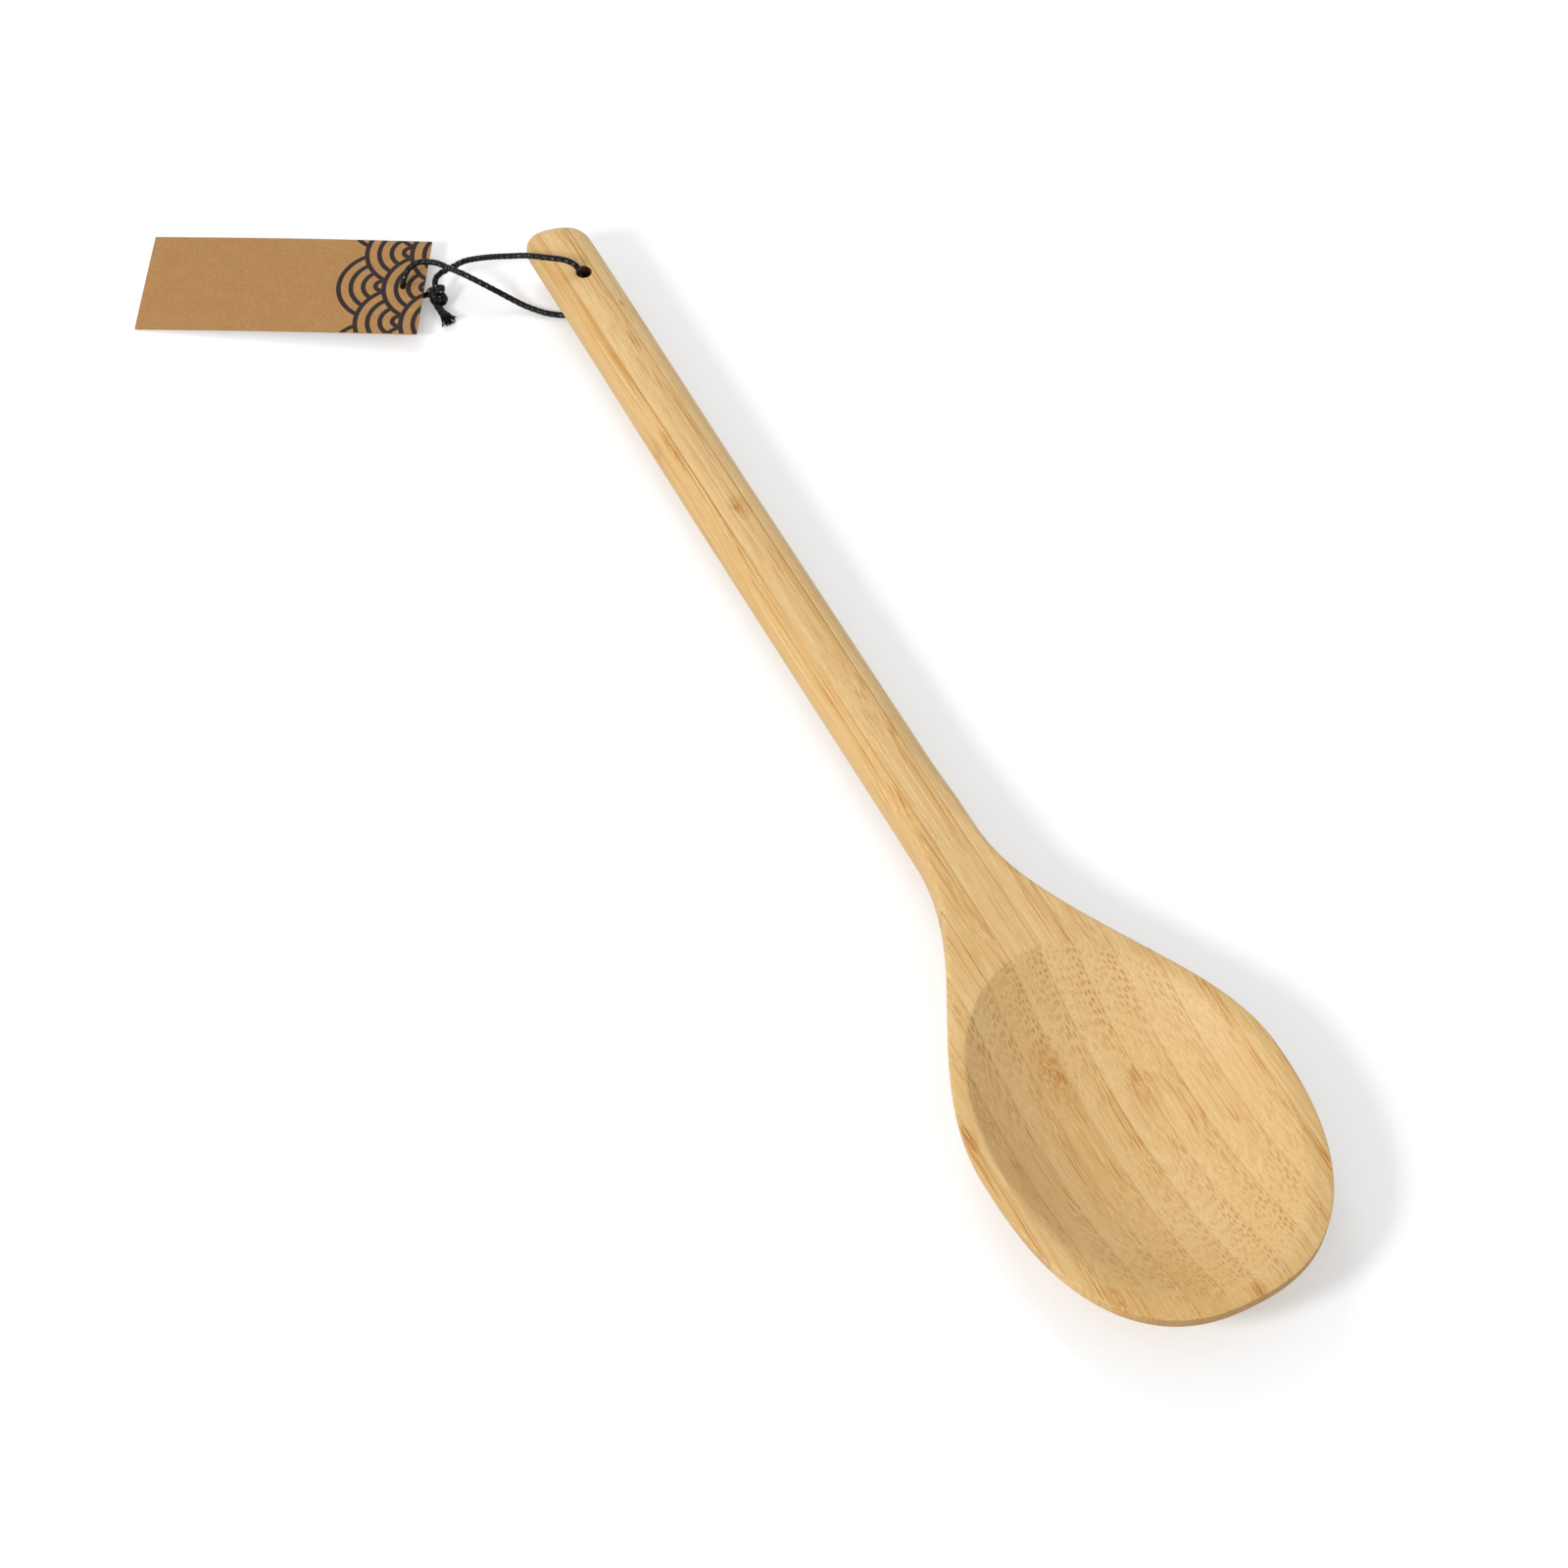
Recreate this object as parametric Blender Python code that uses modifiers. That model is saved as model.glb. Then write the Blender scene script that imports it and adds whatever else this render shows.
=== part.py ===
"""A bamboo serving spoon: strips glued into a board and carved, with a cord loop and a card tag."""

import math

import bmesh
import bpy
from mathutils import Matrix, Vector

MM = 0.001

# The carved spoon. It lies along Y with the tip at -Y, and its top plane is the board's top face.
LENGTH = 330 * MM
BOWL_WIDTH = 70.3 * MM
BOARD_THICKNESS = 16 * MM
WIDEST_FROM_TIP = 48.5 * MM
NECK_FROM_TIP = 126 * MM
TIP_ROUNDNESS = 2.4

# The handle is an oval, relieved underneath, that flattens into the board's top face at the neck.
HANDLE_WIDTH = 15.5 * MM
HANDLE_RELIEF = 2.6 * MM
HANDLE_ROUNDNESS = 2.2
SIDE_BAND = 1.0 * MM
BUTT_LENGTH = 9 * MM
BUTT_ROUNDNESS = 2.9
FLAT_START_FROM_TIP = 149 * MM
FLAT_END_FROM_TIP = 102 * MM

# The bowl: a thin rim, a keel that curves up to the tip, and a shallow flat left where it rests.
RIM_THICKNESS = 2.0 * MM
RIM_ROUND = 0.8 * MM
RIM_SHARPNESS = 24
KEEL_FROM_TIP = 57 * MM
KEEL_FULLNESS = 2.4
HULL_FULLNESS = 2.2
REST_FLAT = 0.35 * MM
HULL_START_FROM_TIP = 118 * MM
HULL_END_FROM_TIP = 70 * MM

# The scoop is a turned dish stretched along the spoon. It leaves a level land round the rim and a floor.
RIM_LAND = 4.05 * MM
SCOOP_LENGTH = 87 * MM
SCOOP_FLOOR = 3.5 * MM
SCOOP_FULLNESS = 2.25
SCOOP_FROM_TIP = 3.5 * MM

# The strips, and the film of glue between two of them.
STRIP_WIDTH = 7.0 * MM
STRIP_OFFSET = -0.4 * MM
GLUE_GAP = 0.3 * MM
LEAST_STRIP = 1.0 * MM

# The hanging hole and the cord through it.
HOLE_DIAMETER = 4.0 * MM
HOLE_FROM_BUTT = 19.9 * MM
CORD_DIAMETER = 1.5 * MM
CORD_STEP = 1.7 * MM

# The card tag, set by its punched hole, its heading in plan and its fall towards the free end.
TAG_LENGTH = 71 * MM
TAG_WIDTH = 30.6 * MM
TAG_THICKNESS = 0.5 * MM
TAG_HOLE = 4.0 * MM
TAG_HOLE_FROM_END = 5.3 * MM
TAG_HEADING = math.radians(148.5)
TAG_FALL = math.radians(2.8)
TAG_PLACE = Vector((-37.4, 26.4, 3.74)) * MM

# The knot.
KNOT_PLACE = Vector((-30.75, 20.85, 3.1)) * MM
KNOT_CORE = 2.2 * MM
KNOT_TURN = 2.0 * MM

HANDLE_THICKNESS = BOARD_THICKNESS - HANDLE_RELIEF
SCOOP_WIDTH = BOWL_WIDTH - 2 * RIM_LAND
SCOOP_DEPTH = BOARD_THICKNESS - SCOOP_FLOOR
TIP_Y = -LENGTH / 2
BUTT_Y = LENGTH / 2
WIDEST_Y = TIP_Y + WIDEST_FROM_TIP
NECK_Y = TIP_Y + NECK_FROM_TIP
HOLE_Y = BUTT_Y - HOLE_FROM_BUTT
HANDLE_MIDDLE = BOARD_THICKNESS - HANDLE_THICKNESS / 2
LOOP_PIVOT = Vector((0, HOLE_Y, HANDLE_MIDDLE))
TO_FLOOR = Vector((0, HOLE_Y, 0))

# Routes of the two cord stretches, in millimetres from the floor point under the hole.
UPPER_ROUTE = [
    (-0.4, 0.2, 10.5),
    (-0.4, 0.2, 14.0),
    (-0.5, 0.4, 16.4),
    (-1.3, 1.4, 18.2),
    (-3.4, 3.1, 19.2),
    (-6.7, 5.3, 19.5),
    (-10.6, 8.4, 19.2),
    (-14.1, 11.8, 17.5),
    (-16.7, 15.5, 15.0),
    (-19.1, 19.4, 11.9),
    (-21.8, 23.0, 8.7),
    (-24.9, 24.6, 6.3),
    (-27.8, 24.9, 5.4),
    (-29.8, 23.8, 4.8),
]
LOWER_ROUTE = [
    (-0.3, 0.1, 8.4),
    (-0.3, 0.1, 5.6),
    (-0.3, 0.1, 3.6),
    (-0.8, 0.3, 1.9),
    (-2.0, 0.6, 1.15),
    (-5.2, 1.9, 1.0),
    (-8.3, 4.1, 1.1),
    (-10.7, 6.6, 1.3),
    (-12.9, 9.1, 1.8),
    (-15.4, 11.8, 3.1),
    (-18.2, 14.3, 5.0),
    (-21.1, 16.9, 6.9),
    (-23.8, 19.8, 8.2),
    (-26.2, 22.9, 8.6),
    (-28.2, 25.5, 8.8),
    (-30.2, 27.2, 8.6),
    (-32.3, 28.2, 8.4),
    (-34.6, 28.2, 7.6),
    (-36.4, 27.3, 6.4),
    (-37.3, 26.6, 4.9),
    (-37.4, 26.4, 3.3),
    (-37.0, 26.1, 2.1),
    (-35.9, 25.2, 1.5),
    (-34.4, 24.1, 1.5),
    (-32.75, 22.75, 2.1),
]
TAIL_ROUTE = [(-31.1, 18.0, 2.4), (-31.1, 15.2, 1.7), (-31.1, 12.8, 1.4), (-30.9, 10.4, 1.4)]
TAIL_SPREAD = 1.45

SHARP_EDGE = math.radians(40)
BAMBOO = (0.745, 0.512, 0.225)
CORD_BLACK = (0.013, 0.012, 0.012)
KRAFT = (0.509, 0.290, 0.116)


def clear_scene():
    for obj in list(bpy.data.objects):
        bpy.data.objects.remove(obj)


def collection_named(name):
    made = bpy.data.collections.new(name)
    bpy.context.scene.collection.children.link(made)
    return made


def material(name, colour, roughness):
    made = bpy.data.materials.new(name)
    made.use_nodes = True
    shader = made.node_tree.nodes["Principled BSDF"]
    shader.inputs["Base Color"].default_value = (*colour, 1)
    shader.inputs["Roughness"].default_value = roughness
    shader.inputs["Metallic"].default_value = 0
    return made


def add_object(name, data, collection, finish=None, place=(0, 0, 0)):
    obj = bpy.data.objects.new(name, data)
    obj.location = place
    collection.objects.link(obj)
    if finish:
        data.materials.append(finish)
    return obj


def mesh_from(name, bm):
    bmesh.ops.recalc_face_normals(bm, faces=bm.faces[:])
    mesh = bpy.data.meshes.new(name)
    bm.to_mesh(mesh)
    bm.free()
    return mesh


def as_cutter(obj):
    obj.hide_render = True
    obj.display_type = "WIRE"
    return obj


def add_boolean(obj, name, operation, other):
    modifier = obj.modifiers.new(name, "BOOLEAN")
    modifier.operation = operation
    modifier.solver = "EXACT"
    modifier.object = other


def mix(a, b, share):
    return a + (b - a) * share


def ease(start, end, value):
    """0 at start and 1 at end, level at both."""
    share = min(max((value - start) / (end - start), 0), 1)
    return share * share * (3 - 2 * share)


def round_end(share, roundness):
    """The half size left at this share of a rounded end."""
    return (1 - min(max(share, 0), 1) ** roundness) ** (1 / roundness)


def butt_share(y):
    return round_end((y - (BUTT_Y - BUTT_LENGTH)) / BUTT_LENGTH, BUTT_ROUNDNESS)


def half_width(y):
    """The outline in plan: a blunt tip, a flank that flares out of the handle, and a rounded butt."""
    bowl, handle = BOWL_WIDTH / 2, HANDLE_WIDTH / 2
    if y < WIDEST_Y:
        return bowl * round_end((WIDEST_Y - y) / WIDEST_FROM_TIP, TIP_ROUNDNESS)
    along = min((y - WIDEST_Y) / (NECK_Y - WIDEST_Y), 1)
    return mix(handle, bowl, (1 + math.cos(math.pi * along)) / 2) * butt_share(y)


def keel(y, edge):
    """The height of the underside on the centre line."""
    deepest = TIP_Y + KEEL_FROM_TIP
    if y < deepest:
        curl = ((deepest - y) / KEEL_FROM_TIP) ** KEEL_FULLNESS
        return mix(-REST_FLAT, edge, min(curl, 1))
    handle_bottom = BOARD_THICKNESS - HANDLE_THICKNESS
    return mix(-REST_FLAT, handle_bottom, ease(deepest, NECK_Y, y))


def section(y, points):
    """The closed section at one station, from the left edge over the top and back underneath."""
    flat = ease(TIP_Y + FLAT_START_FROM_TIP, TIP_Y + FLAT_END_FROM_TIP, y)
    hull = ease(TIP_Y + HULL_START_FROM_TIP, TIP_Y + HULL_END_FROM_TIP, y)
    half = half_width(y)
    crown = mix(HANDLE_THICKNESS / 2 - SIDE_BAND / 2, RIM_ROUND, flat)
    top_power = HANDLE_ROUNDNESS * (RIM_SHARPNESS / HANDLE_ROUNDNESS) ** flat
    edge = mix(HANDLE_MIDDLE - SIDE_BAND / 2, BOARD_THICKNESS - RIM_THICKNESS, hull)
    drop = edge - keel(y, edge)
    hull_power = mix(HANDLE_ROUNDNESS, HULL_FULLNESS, hull)
    hull_root = mix(0.5, 1, hull)
    over, under = [], []
    for index in range(points + 1):
        across = -math.cos(math.pi * index / points)
        rise = 1 - math.sqrt(max(1 - abs(across) ** top_power, 0))
        fall = max(1 - abs(across) ** hull_power, 0) ** hull_root
        top = BOARD_THICKNESS - crown * rise
        bottom = max(edge - drop * fall, 0)
        top = mix(HANDLE_MIDDLE, top, butt_share(y))
        bottom = mix(HANDLE_MIDDLE, bottom, butt_share(y))
        over.append((across * half, y, top))
        under.append((across * half, y, bottom))
    return over + under[::-1]


def stations():
    """Places along Y, close together where the outline turns."""
    turn = [math.radians(angle) for angle in (88.2, 84, 78, 71, 63, 54, 45, 36, 27, 18, 9)]
    places = [WIDEST_Y - WIDEST_FROM_TIP * math.sin(angle) for angle in turn]
    flank_steps = 26
    flank = (TIP_Y + FLAT_START_FROM_TIP) - WIDEST_Y
    places += [WIDEST_Y + flank * step / flank_steps for step in range(flank_steps + 1)]
    handle_start = places[-1]
    handle = BUTT_Y - BUTT_LENGTH - handle_start
    places += [handle_start + handle * step / 8 for step in range(1, 9)]
    butt = [math.radians(angle) for angle in (20, 40, 56, 68, 77, 82)]
    places += [BUTT_Y - BUTT_LENGTH + BUTT_LENGTH * math.sin(angle) for angle in butt]
    return places


def carved_blank(collection):
    """The outside of the spoon as a loft through its sections, which change from oval to boat."""
    bm = bmesh.new()
    rings = [[bm.verts.new(point) for point in section(y, 23)] for y in stations()]
    for ring, following in zip(rings, rings[1:]):
        for index in range(len(ring)):
            after = (index + 1) % len(ring)
            bm.faces.new((ring[index], ring[after], following[after], following[index]))
    bm.faces.new(rings[0])
    bm.faces.new(rings[-1])
    bmesh.ops.triangulate(bm, faces=bm.faces[:])
    mesh = mesh_from("carved_blank", bm)
    mesh.shade_smooth()
    mesh.set_sharp_from_angle(angle=SHARP_EDGE)
    return as_cutter(add_object("carved_blank", mesh, collection))


def scoop_cutter(collection):
    """A dish turned about its own centre and stretched along the spoon."""
    radius = SCOOP_WIDTH / 2
    steps, past = 16, 1.12
    profile = [(0, (past**SCOOP_FULLNESS - 1) * SCOOP_DEPTH)]
    for step in range(steps + 1):
        out = past * (1 - step / steps)
        profile.append((out * radius, (out**SCOOP_FULLNESS - 1) * SCOOP_DEPTH))
    bm = bmesh.new()
    corners = [bm.verts.new((out, 0, height)) for out, height in profile]
    for corner, following in zip(corners, corners[1:]):
        bm.edges.new((corner, following))
    mesh = bpy.data.meshes.new("scoop_cutter")
    bm.to_mesh(mesh)
    bm.free()
    centre = (0, TIP_Y + SCOOP_FROM_TIP + SCOOP_LENGTH / 2, BOARD_THICKNESS)
    cutter = as_cutter(add_object("scoop_cutter", mesh, collection, place=centre))
    cutter.scale = (1, SCOOP_LENGTH / SCOOP_WIDTH, 1)
    screw = cutter.modifiers.new("turn", "SCREW")
    screw.steps = screw.render_steps = 56
    screw.use_merge_vertices = True
    screw.merge_threshold = 0.00005
    return cutter


def hole_cutter(collection):
    bm = bmesh.new()
    bmesh.ops.create_cone(
        bm,
        cap_ends=True,
        segments=24,
        radius1=HOLE_DIAMETER / 2,
        radius2=HOLE_DIAMETER / 2,
        depth=3 * BOARD_THICKNESS,
    )
    mesh = mesh_from("hole_cutter", bm)
    return as_cutter(add_object("hole_cutter", mesh, collection, place=LOOP_PIVOT))


def strip_spans():
    """Each strip's name and the X of its two glue lines. The outermost strips take what is left."""
    half = STRIP_WIDTH / 2
    strips = [("strip_center", STRIP_OFFSET - half, STRIP_OFFSET + half)]
    for side, sign in (("left", -1), ("right", 1)):
        first = half + sign * STRIP_OFFSET
        count = math.ceil((BOWL_WIDTH / 2 - first - LEAST_STRIP) / STRIP_WIDTH)
        for number in range(count):
            near = first + number * STRIP_WIDTH
            far = BOWL_WIDTH if number == count - 1 else near + STRIP_WIDTH
            name = f"strip_{side}_{number + 1}"
            strips.append((name, *sorted((sign * near, sign * far))))
    return strips


def make_strips(collection, cutters):
    blank = carved_blank(cutters)
    scoop = scoop_cutter(cutters)
    hole = hole_cutter(cutters)
    for number, (name, start, end) in enumerate(strip_spans()):
        start += GLUE_GAP / 2
        end -= GLUE_GAP / 2
        size = Vector((end - start, 1.2 * LENGTH, 3 * BOARD_THICKNESS))
        bm = bmesh.new()
        bmesh.ops.create_cube(bm, size=1, matrix=Matrix.Diagonal((*size, 1)))
        tone = 0.94 + 0.06 * math.cos(2.4 * number)
        finish = material(f"bamboo_{name}", [channel * tone for channel in BAMBOO], 0.5)
        place = ((start + end) / 2, 0, BOARD_THICKNESS / 2)
        strip = add_object(name, mesh_from(name, bm), collection, finish, place)
        add_boolean(strip, "carve", "INTERSECT", blank)
        if min(abs(start), abs(end)) < SCOOP_WIDTH / 2:
            add_boolean(strip, "scoop", "DIFFERENCE", scoop)
        if start < HOLE_DIAMETER / 2 and end > -HOLE_DIAMETER / 2:
            add_boolean(strip, "drill", "DIFFERENCE", hole)


def smooth_route(points, step):
    """Points at even steps on a smooth curve through the chosen ones."""
    path = [Vector(point) * MM for point in points]
    padded = [2 * path[0] - path[1], *path, 2 * path[-1] - path[-2]]
    fine = []
    for p0, p1, p2, p3 in zip(padded, padded[1:], padded[2:], padded[3:]):
        for index in range(24):
            t = index / 24
            bend = (p2 - p0) * t + (2 * p0 - 5 * p1 + 4 * p2 - p3) * t**2
            fine.append(p1 + (bend + (3 * p1 - p0 - 3 * p2 + p3) * t**3) / 2)
    fine.append(path[-1])
    travelled = [0]
    for here, following in zip(fine, fine[1:]):
        travelled.append(travelled[-1] + (following - here).length)
    count = max(round(travelled[-1] / step), 2)
    even, index = [], 0
    for number in range(count + 1):
        wanted = travelled[-1] * number / count
        while index < len(fine) - 2 and travelled[index + 1] < wanted:
            index += 1
        share = (wanted - travelled[index]) / (travelled[index + 1] - travelled[index])
        even.append(fine[index].lerp(fine[index + 1], share))
    return even


def add_cord(name, route, collection, pivot, spread=1):
    """A tube along a route, whose far end may spread."""
    points = smooth_route(route, CORD_STEP)
    curve = bpy.data.curves.new(name, "CURVE")
    curve.dimensions = "3D"
    curve.bevel_depth = CORD_DIAMETER / 2
    curve.bevel_resolution = 2
    curve.use_fill_caps = True
    spline = curve.splines.new("POLY")
    spline.points.add(len(points) - 1)
    for number, (target, point) in enumerate(zip(spline.points, points)):
        target.co = (*(point + TO_FLOOR - LOOP_PIVOT), 1)
        target.radius = mix(1, spread, (number / (len(points) - 1)) ** 2)
    cord = add_object(name, curve, collection, material(name, CORD_BLACK, 0.45))
    cord.parent = pivot
    return cord


def add_knot(collection, cutters, pivot):
    """A tight overhand knot: a core with two crossed turns of cord round it."""
    bm = bmesh.new()
    bmesh.ops.create_uvsphere(bm, u_segments=20, v_segments=12, radius=KNOT_CORE)
    mesh = mesh_from("cord_knot", bm)
    mesh.shade_smooth()
    knot = add_object("cord_knot", mesh, collection, material("cord_knot", CORD_BLACK, 0.45))
    knot.location = KNOT_PLACE + TO_FLOOR - LOOP_PIVOT
    knot.parent = pivot
    for number, tilt in enumerate((35, -40)):
        bpy.ops.mesh.primitive_torus_add(
            major_segments=24,
            minor_segments=10,
            major_radius=KNOT_TURN,
            minor_radius=CORD_DIAMETER / 2,
            location=KNOT_PLACE + TO_FLOOR,
            rotation=(math.radians(90), math.radians(tilt), math.radians(60 * number)),
        )
        turn = as_cutter(bpy.context.object)
        turn.data.shade_smooth()
        turn.name = f"knot_turn_{number + 1}"
        for holder in list(turn.users_collection):
            holder.objects.unlink(turn)
        cutters.objects.link(turn)
        add_boolean(knot, turn.name, "UNION", turn)


def add_tag(collection, pivot):
    """A flat card with a punched hole, drawn round the hole with the free end towards +X."""
    outline = bpy.data.curves.new("tag", "CURVE")
    outline.dimensions = "2D"
    outline.fill_mode = "BOTH"
    outline.extrude = TAG_THICKNESS / 2
    end, far, half = -TAG_HOLE_FROM_END, TAG_LENGTH - TAG_HOLE_FROM_END, TAG_WIDTH / 2
    turns = [2 * math.pi * number / 20 for number in range(20)]
    card = [(end, -half), (far, -half), (far, half), (end, half)]
    punched = [(TAG_HOLE / 2 * math.cos(turn), TAG_HOLE / 2 * math.sin(turn)) for turn in turns]
    for points in (card, punched):
        spline = outline.splines.new("POLY")
        spline.points.add(len(points) - 1)
        spline.use_cyclic_u = True
        for target, (x, y) in zip(spline.points, points):
            target.co = (x, y, 0, 1)
    tag = add_object("tag", outline, collection, material("tag", KRAFT, 0.85))
    tag.rotation_euler = (0, TAG_FALL, TAG_HEADING)
    tag.parent = pivot
    return tag


def add_pivot(name, place, collection):
    pivot = add_object(name, None, collection, place=place)
    pivot.empty_display_size = 5 * MM
    return pivot


def main():
    clear_scene()
    parts = collection_named("bamboo_serving_spoon")
    cutters = collection_named("cutters")
    cutters.hide_render = True
    make_strips(parts, cutters)
    loop_pivot = add_pivot("loop_pivot", LOOP_PIVOT, parts)
    tag_pivot = add_pivot("tag_pivot", TAG_PLACE + TO_FLOOR, parts)
    add_cord("cord_upper", UPPER_ROUTE, parts, loop_pivot)
    add_cord("cord_lower", LOWER_ROUTE, parts, loop_pivot)
    add_cord("cord_tail", TAIL_ROUTE, parts, loop_pivot, TAIL_SPREAD)
    add_knot(parts, cutters, loop_pivot)
    add_tag(parts, tag_pivot)
    bpy.context.view_layer.update()


main()
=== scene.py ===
# %% [markdown]
# # A bamboo serving spoon
# The spoon is carved from a small board of glued bamboo strips. A waxed cord runs through a hole in its
# handle and carries a punched card tag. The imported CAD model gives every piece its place, and this lesson
# builds what the eye sees on top of it: the carved wood, the cord, the card, and a plain studio.

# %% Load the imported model
import math

import bmesh
import bpy
import numpy as np
from mathutils import Matrix, Vector


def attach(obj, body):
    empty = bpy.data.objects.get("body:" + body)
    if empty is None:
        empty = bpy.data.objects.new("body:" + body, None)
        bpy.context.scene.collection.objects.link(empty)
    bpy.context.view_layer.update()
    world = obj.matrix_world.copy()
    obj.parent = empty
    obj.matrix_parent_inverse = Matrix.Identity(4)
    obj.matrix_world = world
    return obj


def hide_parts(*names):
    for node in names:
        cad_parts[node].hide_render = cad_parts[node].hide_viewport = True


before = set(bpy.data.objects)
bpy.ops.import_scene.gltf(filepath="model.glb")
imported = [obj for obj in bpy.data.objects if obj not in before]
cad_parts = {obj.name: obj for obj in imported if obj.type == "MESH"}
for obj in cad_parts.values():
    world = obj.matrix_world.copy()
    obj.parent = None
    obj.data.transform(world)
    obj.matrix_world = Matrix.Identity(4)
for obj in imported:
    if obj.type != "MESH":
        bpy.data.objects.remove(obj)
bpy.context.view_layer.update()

MM = 0.001  # metres in a millimetre

# %% [markdown]
# The camera comes first, because everything else is judged through it. The photograph's perspective was
# measured from the tag's rectangle and the spoon's outline: a long lens, about 57 degrees above the floor,
# turned so that the handle runs to the upper left.

# %% Camera
CAMERA_AT = Vector((-0.21458, -0.37231, 0.63406))
LOOKS_AT = Vector((-0.02091, -0.00204, 0))
SENSOR_WIDTH, FOCAL_LENGTH = 36, 76.9  # millimetres


def add_object(name, data):
    """An object in the scene that holds this camera, lamp or mesh."""
    made = bpy.data.objects.new(name, data)
    bpy.context.scene.collection.objects.link(made)
    return made


def place_and_aim(item, place, target):
    """Put a camera or a lamp at a place and turn it towards a target."""
    item.location = place
    item.rotation_euler = (target - place).to_track_quat("-Z", "Y").to_euler()


lens = bpy.data.cameras.new("camera")
lens.sensor_width = SENSOR_WIDTH
lens.lens = FOCAL_LENGTH
camera = add_object("camera", lens)
place_and_aim(camera, CAMERA_AT, LOOKS_AT)
bpy.context.scene.camera = camera
bpy.context.scene.view_settings.view_transform = "Standard"
print("camera", round((LOOKS_AT - CAMERA_AT).length, 3), "m from the middle of the picture")

# %% [markdown]
# Every finish is a tree of shader nodes. Colours are written as the hex values one reads off a picture, and
# Blender's shaders want linear light, so one function converts them. One function adds a node with its
# settings and links. Sockets that share a name go by number: Map Range has the value at 0, the range it
# comes from at 1 and 2 and the range it goes to at 3 and 4, and Mix has the share at 0, two numbers at 2 and
# 3 and two colours at 6 and 7.

# %% Colours and shader nodes
def linear(code):
    """A colour such as "#E2BE84" as linear red, green, blue and alpha."""
    channels = [int(code[i:i + 2], 16) / 255 for i in (1, 3, 5)]
    return (*[c / 12.92 if c < 0.04045 else ((c + 0.055) / 1.055) ** 2.4 for c in channels], 1)


def node(tree, kind, inputs=None, **settings):
    """Add a node. inputs maps a socket's name or number to a value, an output, or a node to link from."""
    made = tree.nodes.new(kind)
    for key, value in settings.items():
        setattr(made, key, value)
    for key, value in (inputs or {}).items():
        if isinstance(value, bpy.types.Node):
            value = next(output for output in value.outputs if output.enabled)
        if isinstance(value, bpy.types.NodeSocket):
            tree.links.new(value, made.inputs[key])
        else:
            made.inputs[key].default_value = value
    return made


def new_finish(name):
    """An empty material and its node tree."""
    finish = bpy.data.materials.new(name)
    finish.use_nodes = True
    finish.node_tree.nodes.clear()
    return finish, finish.node_tree


print("middle grey #808080 is", round(linear("#808080")[0], 3), "in linear light")

# %% [markdown]
# The cord is cotton, braided round and drawn through black wax. That gives the eye a deep black skin with a
# low gloss. Pale flecks lie in rows on the crowns of the braid, more on some stretches than others: they are
# partly whitish wax and partly painted glints. Its fine hairs are under a tenth of a millimetre, so they are
# drawn at 0.12 mm to show at all.

# %% Waxed cotton
HAIR, WAX_BLOOM, FLECK_STRETCH = 0.12, 0.9, 6.0  # sizes of the patterns in millimetres


def waxed_cotton():
    finish, tree = new_finish("waxed_cotton_braid")
    place = node(tree, "ShaderNodeTexCoord").outputs["Object"]
    crown = node(tree, "ShaderNodeAttribute", attribute_name="crown").outputs["Fac"]
    hair, bloom, fleck_stretches = [
        node(tree, "ShaderNodeTexNoise", {"Vector": place, "Scale": 1 / (size * MM), "Detail": detail})
        for size, detail in ((HAIR, 3.0), (WAX_BLOOM, 1.0), (FLECK_STRETCH, 0.0))]
    dust = node(tree, "ShaderNodeMapRange", {0: bloom, 1: 0.4, 2: 0.7, 3: 0.0, 4: 0.8})
    yarn = node(tree, "ShaderNodeMix", {0: dust, 6: linear("#090808"), 7: linear("#191615")},
                data_type="RGBA")
    # pale flecks on the braid's crowns: partly whitish wax, partly painted glints
    crown_glint_and_wax = node(tree, "ShaderNodeMapRange", {0: crown, 1: 0.55, 2: 0.95, 3: 0.0, 4: 1.0})
    fleck_stretch = node(tree, "ShaderNodeMapRange", {0: fleck_stretches, 1: 0.42, 2: 0.58, 3: 0.15, 4: 1.0})
    fleck = node(tree, "ShaderNodeMapRange", {0: bloom, 1: 0.5, 2: 0.62, 3: 0.0, 4: 1.0})
    wax_and_glint = node(tree, "ShaderNodeMath", {0: crown_glint_and_wax, 1: fleck}, operation="MULTIPLY")
    wax_and_glint = node(tree, "ShaderNodeMath", {0: wax_and_glint, 1: fleck_stretch}, operation="MULTIPLY")
    # the pale grey of the flecks is partly wax and partly a painted glint
    colour = node(tree, "ShaderNodeMix", {0: wax_and_glint, 6: yarn, 7: linear("#C2BCB5")}, data_type="RGBA")
    shine = node(tree, "ShaderNodeMapRange", {0: hair, 1: 0.3, 2: 0.7, 3: 0.22, 4: 0.42})
    bump = node(tree, "ShaderNodeBump", {"Height": hair, "Strength": 0.35, "Distance": 0.06 * MM})
    skin = node(tree, "ShaderNodeBsdfPrincipled", {"Base Color": colour, "Roughness": shine, "Normal": bump,
                                                   "IOR": 1.43, "Specular IOR Level": 0.3})
    node(tree, "ShaderNodeOutputMaterial", {"Surface": skin})
    return finish


cord_finish = waxed_cotton()
print("made", cord_finish.name)

# %% [markdown]
# The two legs of the loop repeat the routes of the CAD model, point by point, and run on into the knot. A
# smooth curve is drawn through the chosen points and marked off in even steps, one for each ring of the
# cord's mesh.

# %% Routes of the cord
HOLE_Y = 145.1
RING_STEP, STEPS_BETWEEN_POINTS = 0.22, 24

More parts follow.
